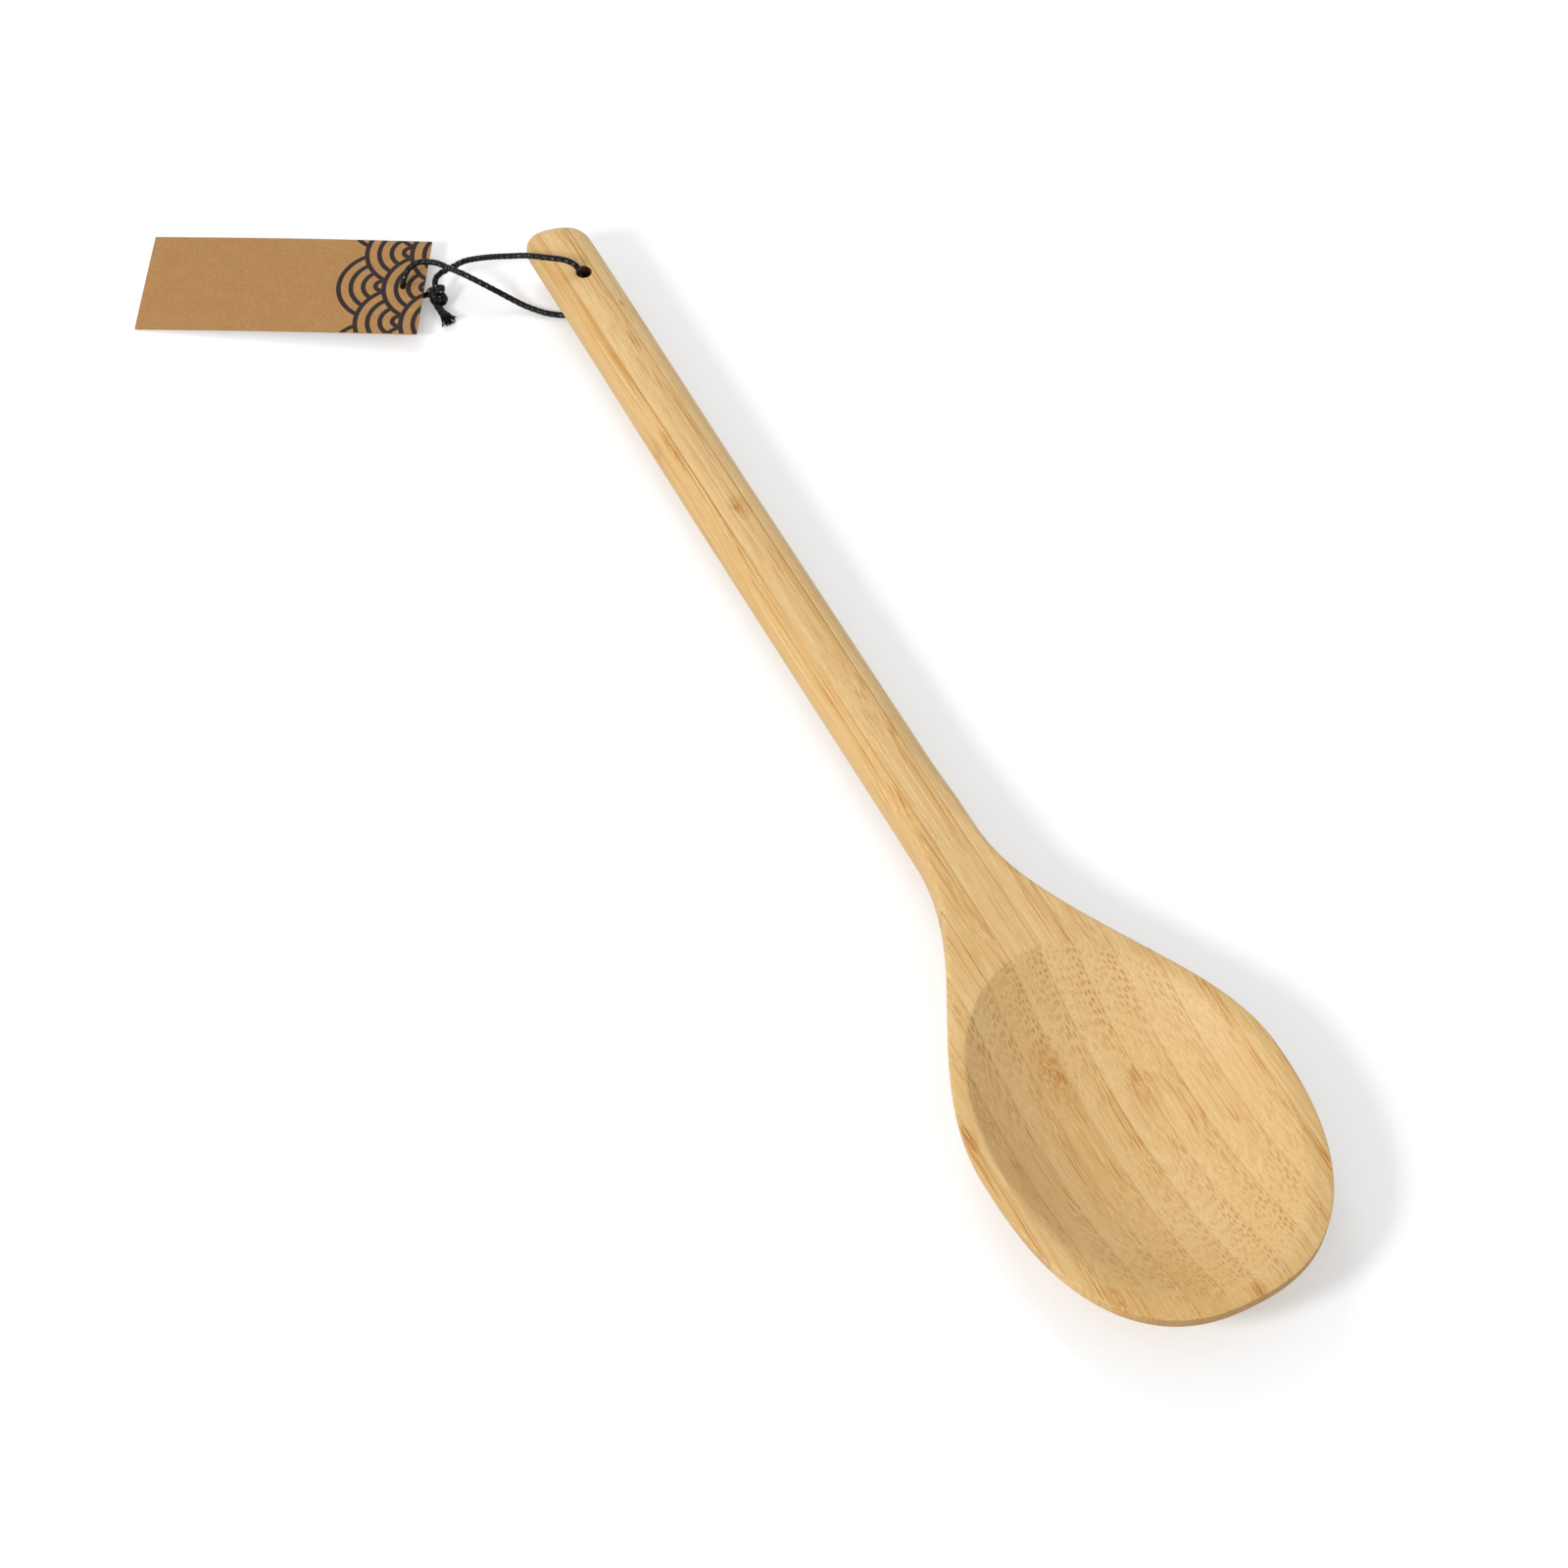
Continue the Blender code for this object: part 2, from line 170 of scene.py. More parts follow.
UPPER_ROUTE = [  # millimetres from the floor point under the hanging hole
    (-0.4, 0.2, 10.5), (-0.4, 0.2, 14.0), (-0.5, 0.4, 16.4), (-1.3, 1.4, 18.2), (-3.4, 3.1, 19.2),
    (-6.7, 5.3, 19.5), (-10.6, 8.4, 19.2), (-14.1, 11.8, 17.5), (-16.7, 15.5, 15.0), (-19.1, 19.4, 11.9),
    (-21.8, 23.0, 8.7), (-24.9, 24.6, 6.3), (-27.8, 24.9, 5.4), (-29.8, 23.8, 4.8),
]
LOWER_ROUTE = [
    (-0.3, 0.1, 8.4), (-0.3, 0.1, 5.6), (-0.3, 0.1, 3.6), (-0.8, 0.3, 1.9), (-2.0, 0.6, 1.15),
    (-5.2, 1.9, 1.0), (-8.3, 4.1, 1.1), (-10.7, 6.6, 1.3), (-12.9, 9.1, 1.8), (-15.4, 11.8, 3.1),
    (-18.2, 14.3, 5.0), (-21.1, 16.9, 6.9), (-23.8, 19.8, 8.2), (-26.2, 22.9, 8.6), (-28.2, 25.5, 8.8),
    (-30.2, 27.2, 8.6), (-32.3, 28.2, 8.4), (-34.6, 28.2, 7.6), (-36.4, 27.3, 6.4), (-37.3, 26.6, 4.9),
    (-37.4, 26.4, 3.3), (-37.0, 26.1, 2.1), (-35.9, 25.2, 1.5), (-34.4, 24.1, 1.5), (-32.75, 22.75, 2.1),
]
INTO_KNOT = (-30.7, 21.4, 3.3)


def smooth_route(points, step):
    """Evenly spaced points on a smooth curve through the chosen ones, in millimetres in the part's frame."""
    path = np.array(points, float) + (0, HOLE_Y, 0)
    padded = np.vstack([2 * path[0] - path[1], path, 2 * path[-1] - path[-2]])
    t = np.linspace(0, 1, STEPS_BETWEEN_POINTS, endpoint=False)[:, None]
    fine = []
    for p0, p1, p2, p3 in zip(padded, padded[1:], padded[2:], padded[3:]):
        bend = (p2 - p0) * t + (2 * p0 - 5 * p1 + 4 * p2 - p3) * t**2
        fine.append(p1 + (bend + (3 * p1 - p0 - 3 * p2 + p3) * t**3) / 2)
    fine = np.vstack([*fine, path[-1:]])
    travelled = np.r_[0, np.cumsum(np.linalg.norm(np.diff(fine, axis=0), axis=1))]
    even = np.linspace(0, travelled[-1], max(round(travelled[-1] / step), 2) + 1)
    return np.column_stack([np.interp(even, travelled, fine[:, axis]) for axis in range(3)])


upper_path = smooth_route([*UPPER_ROUTE, INTO_KNOT], RING_STEP)
lower_path = smooth_route([*LOWER_ROUTE, INTO_KNOT], RING_STEP)
print("rings on the two legs:", len(upper_path), len(lower_path))

# %% [markdown]
# Every visible piece is an object that rides on a body of the CAD model and stands for some of its nodes.
# The mesh is made from points and faces, and it can keep values on its points for the shader to read. Much
# of this spoon is rings of points, so one function joins rings with faces.

# %% Pieces and their meshes
def mesh_of(name, points, faces, sharp=None):
    """A smooth-shaded mesh from points in millimetres, with edges steeper than sharp kept crisp."""
    mesh = bpy.data.meshes.new(name)
    mesh.from_pydata([tuple(p) for p in np.asarray(points, float) * MM], [], faces)
    mesh.shade_smooth()
    if sharp:
        mesh.set_sharp_from_angle(angle=math.radians(sharp))
    return mesh


def ring_faces(rings, around, first=0, closed=False):
    """Faces between rings of points, the first of which starts at this point."""
    faces = []
    for ring in range(rings if closed else rings - 1):
        here, following = first + ring * around, first + (ring + 1) % rings * around
        for k in range(around):
            after = (k + 1) % around
            faces.append((here + k, following + k, following + after, here + after))
    return faces


def store(mesh, name, values):
    """Keep one number, or one vector, per point of the mesh, for the shader to read."""
    single = values.ndim == 1
    attribute = mesh.attributes.new(name, "FLOAT" if single else "FLOAT_VECTOR", "POINT")
    attribute.data.foreach_set("value" if single else "vector", values.astype(np.float32).ravel())


def add_piece(name, mesh, finish, body, slot, *replaced, matrix=None):
    """An object with this finish that rides on a CAD body and stands for the replaced CAD nodes."""
    piece = add_object(name, mesh)
    piece.matrix_world = matrix or Matrix.Identity(4)
    piece.data.materials.append(finish)
    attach(piece, body)
    if replaced:
        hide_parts(*replaced)
    return piece


# %% [markdown]
# A curve with a round bevel would be a plain tube, so each leg of the cord is a mesh instead: rings of points
# carried along the route without twisting, each ring dented by the braid, whose crossing threads make a
# staggered lattice of small crowns. A real braid this thin repeats every millimetre; it is drawn coarser, at
# 1.7 mm, so that it can be seen.

# %% Braided tube
CORD_RADIUS = 0.75
BRAID_REPEAT, CROWNS_AROUND = 1.7, 3
DENT_SHARE = 0.3  # dents go deeper than crowns rise
FIRST_SIDE = (0.3, 0.5, 0.81)  # any direction that no route starts along


def carried_frames(path, closed=False):
    """Two directions across the path at every point, turned as little as possible from one to the next."""
    along = np.roll(path, -1, 0) - np.roll(path, 1, 0) if closed else np.gradient(path, axis=0)
    along /= np.linalg.norm(along, axis=1)[:, None]
    side = np.cross(along[0], FIRST_SIDE)
    sides = []
    for direction in along:
        side = side - direction * (side @ direction)
        side = side / np.linalg.norm(side)
        sides.append(side)
    sides = np.array(sides)
    return sides, np.cross(along, sides)


def braided_tube(path, radius, around=24, relief=0.13, spread=None, closed=False):
    """Points, faces and crowns (1 on top of a thread, -1 between) of a round braid along a path."""
    side, up = carried_frames(path, closed)
    steps = np.linalg.norm(np.diff(path, axis=0), axis=1)
    travelled = np.r_[0, np.cumsum(steps)][:, None]
    turn = np.linspace(0, 2 * np.pi, around, endpoint=False)[None]
    crown = np.cos(CROWNS_AROUND * turn) * np.cos(2 * np.pi * travelled / BRAID_REPEAT)
    reach = radius * (1 + relief * (crown - DENT_SHARE)) * (1 if spread is None else spread[:, None])
    rings = path[:, None] + reach[..., None] * (
        np.cos(turn)[..., None] * side[:, None] + np.sin(turn)[..., None] * up[:, None])
    count = len(path)
    faces = [(a, d, c, b) for a, b, c, d in ring_faces(count, around, closed=closed)]
    if not closed:
        faces.append(tuple(range(around))[::-1])
        faces.append(tuple(range((count - 1) * around, count * around)))
    return rings.reshape(-1, 3), faces, crown.ravel()


print("braid repeats every", BRAID_REPEAT, "mm with", CROWNS_AROUND, "crowns round the cord")

# %% Legs of the loop
CREASE = 70  # degrees


def add_cord(name, node_name, points, faces, crown):
    mesh = mesh_of(name, points, faces, sharp=CREASE)
    store(mesh, "crown", crown)
    return add_piece(name, mesh, cord_finish, "cord_loop", "cord", node_name)


upper_leg = add_cord("braided_cord_upper", "cord_upper", *braided_tube(upper_path, CORD_RADIUS))
lower_leg = add_cord("braided_cord_lower", "cord_lower", *braided_tube(lower_path, CORD_RADIUS))
print("braid faces:", len(upper_leg.data.polygons) + len(lower_leg.data.polygons))

# %% [markdown]
# An overhand knot closes the loop. A pulled-tight overhand knot follows a trefoil, the simplest closed
# knot, so the same braided tube runs along a small trefoil that is squeezed until its turns press together.

# %% Knot
KNOT_PLACE = np.array((-30.8, 20.55, 3.2)) + (0, HOLE_Y, 0)
KNOT_POINTS, KNOT_RADIUS, KNOT_HEIGHT = 150, 1.0, 1.15
KNOT_ROLL, KNOT_PITCH = math.radians(62), math.radians(25)
KNOT_SQUEEZE, KNOT_STRETCH = (0.64, 0.62, 0.85), (1, 1.2, 1.05)

turn = np.linspace(0, 2 * np.pi, KNOT_POINTS, endpoint=False)
trefoil = np.column_stack([
    np.sin(turn) + 2 * np.sin(2 * turn),
    np.cos(turn) - 2 * np.cos(2 * turn),
    -KNOT_HEIGHT * np.sin(3 * turn)])
tilt = np.array(Matrix.Rotation(KNOT_ROLL, 3, "X") @ Matrix.Rotation(KNOT_PITCH, 3, "Y"))
knot_path = trefoil * KNOT_SQUEEZE @ tilt.T * KNOT_STRETCH + KNOT_PLACE
points, faces, crown = braided_tube(knot_path, KNOT_RADIUS, closed=True)
knot = add_cord("overhand_knot", "cord_knot", points, faces, crown)
print("knot reaches", np.round(points.min(0), 1), np.round(points.max(0), 1))

# %% [markdown]
# One cut end leaves the knot. Waxed cotton frays where scissors cut it, so the braid opens a little towards
# the end and a tuft of separate threads leaves it, each with its own length and lean. The golden angle from
# one thread to the next spreads them evenly over the cut.

# %% Frayed tail
TAIL_ROUTE = [(-32.0, 20.3, 2.9), (-32.0, 18.4, 2.3), (-31.7, 16.2, 1.8), (-31.4, 14.0, 1.5)]
TAIL_STEP, SWELL_AT_KNOT, SWELL_MORE = 0.2, 1.1, 0.6
THREADS, THREAD_RADIUS, THREAD_SIDES, THREAD_RINGS = 26, 0.19, 7, 9
TUFT_RADIUS, GOLDEN_ANGLE, THREAD_ROOT, LOWEST = 1.35, 2.4, 0.9, 0.3
SHORTEST, LENGTH_SPREAD = 1.8, 0.9
LEAST_LEAN, LEAN_SPREAD, STRAY = 0.4, 0.4, 0.12

tail_path = smooth_route(TAIL_ROUTE, TAIL_STEP)
swell = SWELL_AT_KNOT + SWELL_MORE * np.linspace(0, 1, len(tail_path)) ** 2
points, faces, crown = braided_tube(tail_path, CORD_RADIUS, spread=swell)
tail_points, tail_faces, tail_crown = [points], list(faces), [crown]
chance = np.random.default_rng(seed=7)
end, aim = tail_path[-1], tail_path[-1] - tail_path[-4]
aim /= np.linalg.norm(aim)
side, up = carried_frames(tail_path)
for number in range(THREADS):
    angle, out = GOLDEN_ANGLE * number, TUFT_RADIUS * math.sqrt((number + 0.5) / THREADS)
    across = math.cos(angle) * side[-1] + math.sin(angle) * up[-1]
    start = end - THREAD_ROOT * aim + across * out
    reach = SHORTEST + LENGTH_SPREAD * chance.random()
    lean = across * out * (LEAST_LEAN + LEAN_SPREAD * chance.random()) + chance.normal(0, STRAY, 3)
    share = np.linspace(0, 1, THREAD_RINGS)[:, None]
    thread = start + aim * reach * share + lean * share**2
    thread[:, 2] = np.maximum(thread[:, 2], LOWEST)
    points, faces, crown = braided_tube(thread, THREAD_RADIUS, around=THREAD_SIDES, relief=0.0)
    offset = sum(len(p) for p in tail_points)
    tail_points.append(points)
    tail_faces += [tuple(offset + corner for corner in face) for face in faces]
    tail_crown.append(crown - 1)
tail = add_cord("frayed_cord_tail", "cord_tail",
                np.vstack(tail_points), tail_faces, np.concatenate(tail_crown))
print("tail with", THREADS, "threads,", len(tail.data.vertices), "points")

# %% [markdown]
# The cord is soft, and its meshes alone don't say so. Here the length of each leg along its route is
# measured and printed. The knot and the tail go with the lower leg.

def route_length(path):
    return float(np.linalg.norm(np.diff(path, axis=0), axis=1).sum()) * MM


for leg, path, others in ((upper_leg, upper_path, []), (lower_leg, lower_path, [knot, tail])):
    print(leg.name, round(route_length(path) / MM, 1), "mm long")

# %% [markdown]
# The spoon's body was sawn, routed and sanded from one board, so its surface runs unbroken over the glue
# lines. The lesson works the same way: first the whole carved surface, then the cuts into strips. The CAD
# model's formulas are repeated on a much finer mesh. Sizes are in millimetres and start from the CAD model's,
# with the butt, the rim and the scoop brought a little closer to the photographed spoon.

# %% Outline of the spoon
TIP, WIDEST, NECK, BUTT = -165.0, -116.5, -39.0, 164.0  # places along the spoon
HALF_BOWL, HALF_HANDLE, BUTT_LENGTH = 35.15, 7.75, 6.5
TIP_ROUNDNESS, BUTT_ROUNDNESS = 2.4, 3.4  # 2 is an ellipse, and more is squarer
TINY = 1e-6  # keeps divisions away from zero


def mix(a, b, share):
    return a + (b - a) * share


def ease(start, end, value):
    """0 before the start, 1 after the end, and a smooth rise between."""
    share = np.clip((value - start) / (end - start), 0, 1)
    return share * share * (3 - 2 * share)


def round_end(share, roundness):
    """1 where the rounding of an end begins, falling to 0 at the end itself."""
    return (1 - np.clip(share, 0, 1) ** roundness) ** (1 / roundness)


def half_width(y):
    """Half the outline's width in plan: a blunt tip, a flank that flares from the handle, a round butt."""
    front = HALF_BOWL * round_end((WIDEST - y) / (WIDEST - TIP), TIP_ROUNDNESS)
    along = np.clip((y - WIDEST) / (NECK - WIDEST), 0, 1)
    butt = round_end((y - (BUTT - BUTT_LENGTH)) / BUTT_LENGTH, BUTT_ROUNDNESS)
    back = mix(HALF_HANDLE, HALF_BOWL, (1 + np.cos(np.pi * along)) / 2) * butt
    return np.where(y < WIDEST, front, back)


print("bowl", 2 * HALF_BOWL, "mm wide, handle", 2 * HALF_HANDLE, "mm wide")

# %% [markdown]
# Heights come from plan positions. The top is the oval of the handle, which flattens into the board's face
# at the neck, and the scoop is cut into it. A router leaves the scoop's upper edge crisp, and sanding has
# softened it most at the lower left, then at the tip and on the right. So the two surfaces are blended over
# a width that depends on where round the scoop the point lies.

# %% Scoop and its sanded edge
THICK = 16.0
SCOOP_Y, SCOOP_ACROSS, SCOOP_ALONG, SCOOP_DEEP, SCOOP_FULLNESS = -117.3, 31.1, 43.8, 12.5, 2.25
SOFT, SOFT_RIGHT, SOFT_NECK, SOFT_ENDS, SOFT_TIP, SOFT_LOWER_LEFT = 1.15, 0.55, -0.6, -0.25, 0.7, 3.0
LEAST_SOFT = 0.2


def scoop_height(x, y):
    out = np.hypot(x / SCOOP_ACROSS, (y - SCOOP_Y) / SCOOP_ALONG)
    return THICK - SCOOP_DEEP * (1 - out**SCOOP_FULLNESS)


def edge_softness(x, y):
    """How far sanding rounded the scoop's edge, in millimetres of height."""
    round_scoop = np.arctan2((y - SCOOP_Y) / SCOOP_ALONG, x / SCOOP_ACROSS)
    right, neck = np.cos(round_scoop), np.sin(round_scoop)
    tip, left = np.maximum(-neck, 0), np.maximum(-right, 0)
    even = SOFT + SOFT_RIGHT * right + SOFT_NECK * neck + SOFT_ENDS * neck**2
    return np.maximum(even + SOFT_TIP * tip**2 + SOFT_LOWER_LEFT * tip * left, LEAST_SOFT)


turn = np.radians(np.arange(0, 360, 5))
softness = edge_softness(SCOOP_ACROSS * np.cos(turn), SCOOP_Y + SCOOP_ALONG * np.sin(turn))
print("scoop's edge rounded by", round(softness.min(), 2), "to", round(softness.max(), 2), "mm")

# %% Height of the top
HANDLE_THICK, SIDE_BAND, RIM_ROUND = 13.4, 1.0, 0.4
HANDLE_MIDDLE = THICK - HANDLE_THICK / 2
FLAT_FROM, FLAT_TO = -16.0, -63.0
HANDLE_ROUNDNESS, LAND_SHARPNESS = 2.7, 24
BUTT_EDGE, BUTT_EDGE_ROUNDNESS = 4.5, 2.2


def butt_height(y):
    """The sawn end stays thick almost to the butt, and only its edges are rounded over."""
    return round_end((y - (BUTT - BUTT_EDGE)) / BUTT_EDGE, BUTT_EDGE_ROUNDNESS)


def share_across(x, y):
    """0 on the centre line and 1 on the outline. Round the tip it follows the distance to the outline."""
    power = TIP_ROUNDNESS
    behind = np.abs(x) / np.maximum(half_width(y), TINY)
    a, b = np.abs(x) / HALF_BOWL, np.maximum(WIDEST - y, 0) / (WIDEST - TIP)
    reach = np.maximum((a**power + b**power) ** (1 / power), TINY)
    slope = np.hypot(a ** (power - 1) / HALF_BOWL, b ** (power - 1) / (WIDEST - TIP))
    steep = reach ** (1 - power) * slope
    front = 1 - (1 - reach) / np.maximum(steep, TINY) / HALF_BOWL
    return np.clip(np.where(y < WIDEST, front, behind), 0, 1)


def top_height(x, y):
    """The lower of the board's top and the scoop, with a soft passage from one to the other."""
    flat = ease(FLAT_FROM, FLAT_TO, y)
    crown = mix(HANDLE_THICK / 2 - SIDE_BAND / 2, RIM_ROUND, flat)
    power = HANDLE_ROUNDNESS * (LAND_SHARPNESS / HANDLE_ROUNDNESS) ** flat
    top = THICK - crown * (1 - np.sqrt(np.maximum(1 - share_across(x, y) ** power, 0)))
    scoop, soft = scoop_height(x, y), edge_softness(x, y)
    lean = np.clip(0.5 + 0.5 * (scoop - top) / soft, 0, 1)
    top = mix(scoop, top, lean) - soft * lean * (1 - lean)
    return mix(HANDLE_MIDDLE, top, butt_height(y))


print("scoop", round(THICK - float(top_height(0.0, SCOOP_Y)), 2), "mm deep")

# %% [markdown]
# The underside is an oval below the handle and a keeled hull below the bowl. The hull's keel dips a little
# under the floor and is cut off level there, which leaves the small flat that the spoon rests on.

# %% Height of the underside
HULL_FROM, HULL_TO, DEEPEST, DIP = -47.0, -95.0, -108.0, -0.35
FLANK_RIM, TIP_RIM, RIM_FROM, RIM_TO = 2.3, 3.2, -105, -150
KEEL_FULLNESS, HULL_FULLNESS = 2.4, 2.2


def underside_height(x, y):
    hull = ease(HULL_FROM, HULL_TO, y)
    rim = mix(FLANK_RIM, TIP_RIM, ease(RIM_FROM, RIM_TO, y))
    edge = mix(HANDLE_MIDDLE - SIDE_BAND / 2, THICK - rim, hull)
    curl = np.clip((DEEPEST - y) / (DEEPEST - TIP), 0, 1) ** KEEL_FULLNESS
    rise = mix(DIP, THICK - HANDLE_THICK, ease(DEEPEST, NECK, y))
    keel = np.where(y < DEEPEST, mix(DIP, edge, curl), rise)
    across = np.clip(np.abs(x) / np.maximum(half_width(y), TINY), 0, 1)
    fall = np.maximum(1 - across**HULL_FULLNESS, 0) ** mix(0.5, 1, hull)
    bottom = np.maximum(edge - (edge - keel) * fall, 0)
    return mix(HANDLE_MIDDLE, bottom, butt_height(y))


wood_left = float(top_height(0.0, SCOOP_Y) - underside_height(0.0, SCOOP_Y))
print("wood under the scoop:", round(wood_left, 2), "mm")

# %% [markdown]
# The mesh is laid out in plan, seen from above, so that its lines follow the edges that matter: rings inside
# the scoop, a ring of land from the scoop's edge to the outline, and rows along the neck and handle.

# %% Plan of the bowl
NECK_ROW, POINTS_AROUND = -66.0, 260
SCOOP_RINGS, LAND_RINGS, FIRST_RING, CROWDING = 54, 15, 0.06, 1.3
FAR_OUT, HALVINGS = 3.0, 50


def reach_to_outline(ray):
    """How many times a ray from the scoop's middle to its edge fits before the outline or the neck row."""
    near, far = np.ones(len(ray)), np.full(len(ray), FAR_OUT)
    for _ in range(HALVINGS):
        middle = (near + far) / 2
        x, y = middle * ray[:, 0], SCOOP_Y + middle * ray[:, 1]
        inside = (np.abs(x) < half_width(y)) & (y < NECK_ROW) & (y > TIP)
        near, far = np.where(inside, middle, near), np.where(inside, far, middle)
    return near


def bowl_plan(across):
    """Points and faces of the bowl, and how many points each ring has, those towards the neck first."""
    back = np.arctan2((NECK_ROW - SCOOP_Y) / SCOOP_ALONG, across * half_width(NECK_ROW) / SCOOP_ACROSS)
    rest = np.linspace(back[-1], back[0] + 2 * np.pi, POINTS_AROUND)[1:-1]
    angle = np.r_[back, rest]
    ray = np.column_stack([SCOOP_ACROSS * np.cos(angle), SCOOP_ALONG * np.sin(angle)])
    count, outline = len(angle), reach_to_outline(ray)
    outs = 1 - (1 - np.linspace(FIRST_RING, 1, SCOOP_RINGS)) ** CROWDING
    rings = [np.full(count, out) for out in outs]
    rings += [mix(1, outline, (1 - math.cos(math.pi * s)) / 2) for s in np.linspace(0, 1, LAND_RINGS)[1:]]
    points = [np.array([[0, SCOOP_Y]])]
    points += [np.column_stack([r * ray[:, 0], SCOOP_Y + r * ray[:, 1]]) for r in rings]
    faces = [(0, 1 + k, 1 + (k + 1) % count) for k in range(count)]
    return np.vstack(points), faces + ring_faces(len(rings), count, first=1), count


print("rings in the bowl:", SCOOP_RINGS, "in the scoop and", LAND_RINGS - 1, "on the land")

# %% Plan of the whole spoon
POINTS_ACROSS, HANDLE_ROWS, BUTT_ROWS = 53, 260, 20
LAST_ROW_ANGLE = 89.4  # degrees round the butt, just short of its very end


def plan_mesh():
    """Points (x, y) and faces, wound the same way, of the whole spoon seen from above."""
    across = np.sin(np.pi / 2 * np.linspace(1, -1, POINTS_ACROSS))
    bowl, faces, count = bowl_plan(across)
    points, total = [bowl], len(bowl)
    row = list(range(total - count, total - count + len(across)))
    to_butt = np.sin(np.radians(np.linspace(0, LAST_ROW_ANGLE, BUTT_ROWS)[1:]))
    ys = np.r_[np.linspace(NECK_ROW, BUTT - BUTT_LENGTH, HANDLE_ROWS)[1:], BUTT - BUTT_LENGTH * (1 - to_butt)]
    for y in ys:
        points.append(np.column_stack([across * half_width(y), np.full(len(across), y)]))
        following = list(range(total, total + len(across)))
        for k in range(len(across) - 1):
            faces.append((row[k], following[k], following[k + 1], row[k + 1]))
        row, total = following, total + len(across)
    return np.vstack(points), faces


plan, plan_faces = plan_mesh()
print("plan:", len(plan), "points,", len(plan_faces), "faces")

# %% [markdown]
# The same plan is then lifted twice, to the top and to the underside, and a band closes the two along the
# rim. The small hand-made faults of the photographed spoon are kept: the bowl leans 0.8 mm to the right, its
# right shoulder was sanded leaner, the handle bends half a millimetre, and the butt was sawn a little askew.

# %% Carved surface
BOWL_LEAN, LEAN_FROM, LEAN_TO = 0.8, -70, -130
HANDLE_BEND, BEND_FROM, BEND_TO = 0.5, 60, 150
SHOULDER, SHOULDER_TOP, SHOULDER_FULL, SHOULDER_FADES, SHOULDER_ENDS = 1.4, -25, -60, -80, -118
BUTT_SKEW, SKEW_FROM, SKEW_TO = 0.27, 150, 160


def boundary(faces):
    """The edges that only one face uses, in that face's direction."""
    used = {}
    for face in faces:
        for a, b in zip(face, face[1:] + face[:1]):
            used[(a, b)] = True
    return [(a, b) for a, b in used if (b, a) not in used]


def carved_surface():
    x, y = plan.T
    right = np.clip(x / np.maximum(half_width(y), TINY), 0, 1)
    made_x = x + BOWL_LEAN * ease(LEAN_FROM, LEAN_TO, y) + HANDLE_BEND * ease(BEND_FROM, BEND_TO, y)
    made_x -= SHOULDER * right * ease(SHOULDER_TOP, SHOULDER_FULL, y) * ease(SHOULDER_ENDS, SHOULDER_FADES, y)
    made_y = y - BUTT_SKEW * x * ease(SKEW_FROM, SKEW_TO, y)
    top = np.column_stack([made_x, made_y, top_height(x, y)])
    under = np.column_stack([made_x, made_y, underside_height(x, y)])
    count = len(plan)
    faces = list(plan_faces)
    faces += [tuple(count + corner for corner in face[::-1]) for face in plan_faces]
    faces += [(b, a, count + a, count + b) for a, b in boundary(plan_faces)]
    mesh = mesh_of("carved_surface", np.vstack([top, under]), faces)
    whole = bmesh.new()
    whole.from_mesh(mesh)
    bpy.data.meshes.remove(mesh)
    bmesh.ops.recalc_face_normals(whole, faces=whole.faces[:])
    return whole


carved = carved_surface()
print("carved surface:", len(carved.faces), "faces, volume", round(carved.calc_volume() * 1e6, 1), "cm3")

# %% [markdown]
# The board's strips are now sliced out of the carved surface, at the same glue lines as in the CAD model.
# Each strip has a tone of its own: 0 is pale, 1 is amber, and the darkest run on a little past 1.

# %% Slice the strips
CENTER_FROM, CENTER_TO, STRIP_WIDTH, GLUE_FILM = -3.9, 3.1, 7, 0.02
ON_THE_CUT = 1e-8  # metres from the cut within which a point counts as on it
CENTER_TONE = 0.45
SIDE_TONES = {"left": (-1, (0.9, 0.45, 0.55, 0.6, 1.1)), "right": (1, (0.2, 0.45, 0.5, 0.5, 0.6))}

STRIPS = {"strip_center": (CENTER_FROM, CENTER_TO, CENTER_TONE)}
for side_name, (direction, tones) in SIDE_TONES.items():
    for count, tone in enumerate(tones, start=1):
        shift = direction * STRIP_WIDTH * count
        STRIPS[f"strip_{side_name}_{count}"] = (CENTER_FROM + shift, CENTER_TO + shift, tone)


def slice_strip(name, start, end):
    """The part of the carved surface between two glue lines, closed at both."""
    strip = carved.copy()
    for cut, outwards in ((start + GLUE_FILM / 2, -1), (end - GLUE_FILM / 2, 1)):
        geometry = strip.verts[:] + strip.edges[:] + strip.faces[:]
        made = bmesh.ops.bisect_plane(strip, geom=geometry, dist=ON_THE_CUT, plane_co=(cut * MM, 0, 0),
                                      plane_no=(outwards, 0, 0), clear_outer=True)
        edges = [item for item in made["geom_cut"] if isinstance(item, bmesh.types.BMEdge)]
        if edges:
            for face in bmesh.ops.holes_fill(strip, edges=edges, sides=0)["faces"]:
                face.smooth = False
    mesh = bpy.data.meshes.new("bamboo_" + name)
    strip.to_mesh(mesh)
    strip.free()
    return mesh


strip_meshes = {name: slice_strip(name, start, end) for name, (start, end, tone) in STRIPS.items()}
carved.free()
print("strips:", len(strip_meshes))

# %% [markdown]
# The hanging hole is drilled after the strips are glued, so it is cut from the finished middle strip. The
# drill is a profile turned round: a bore of just under 4 mm that opens at both ends, where the edge was
# broken by sanding.

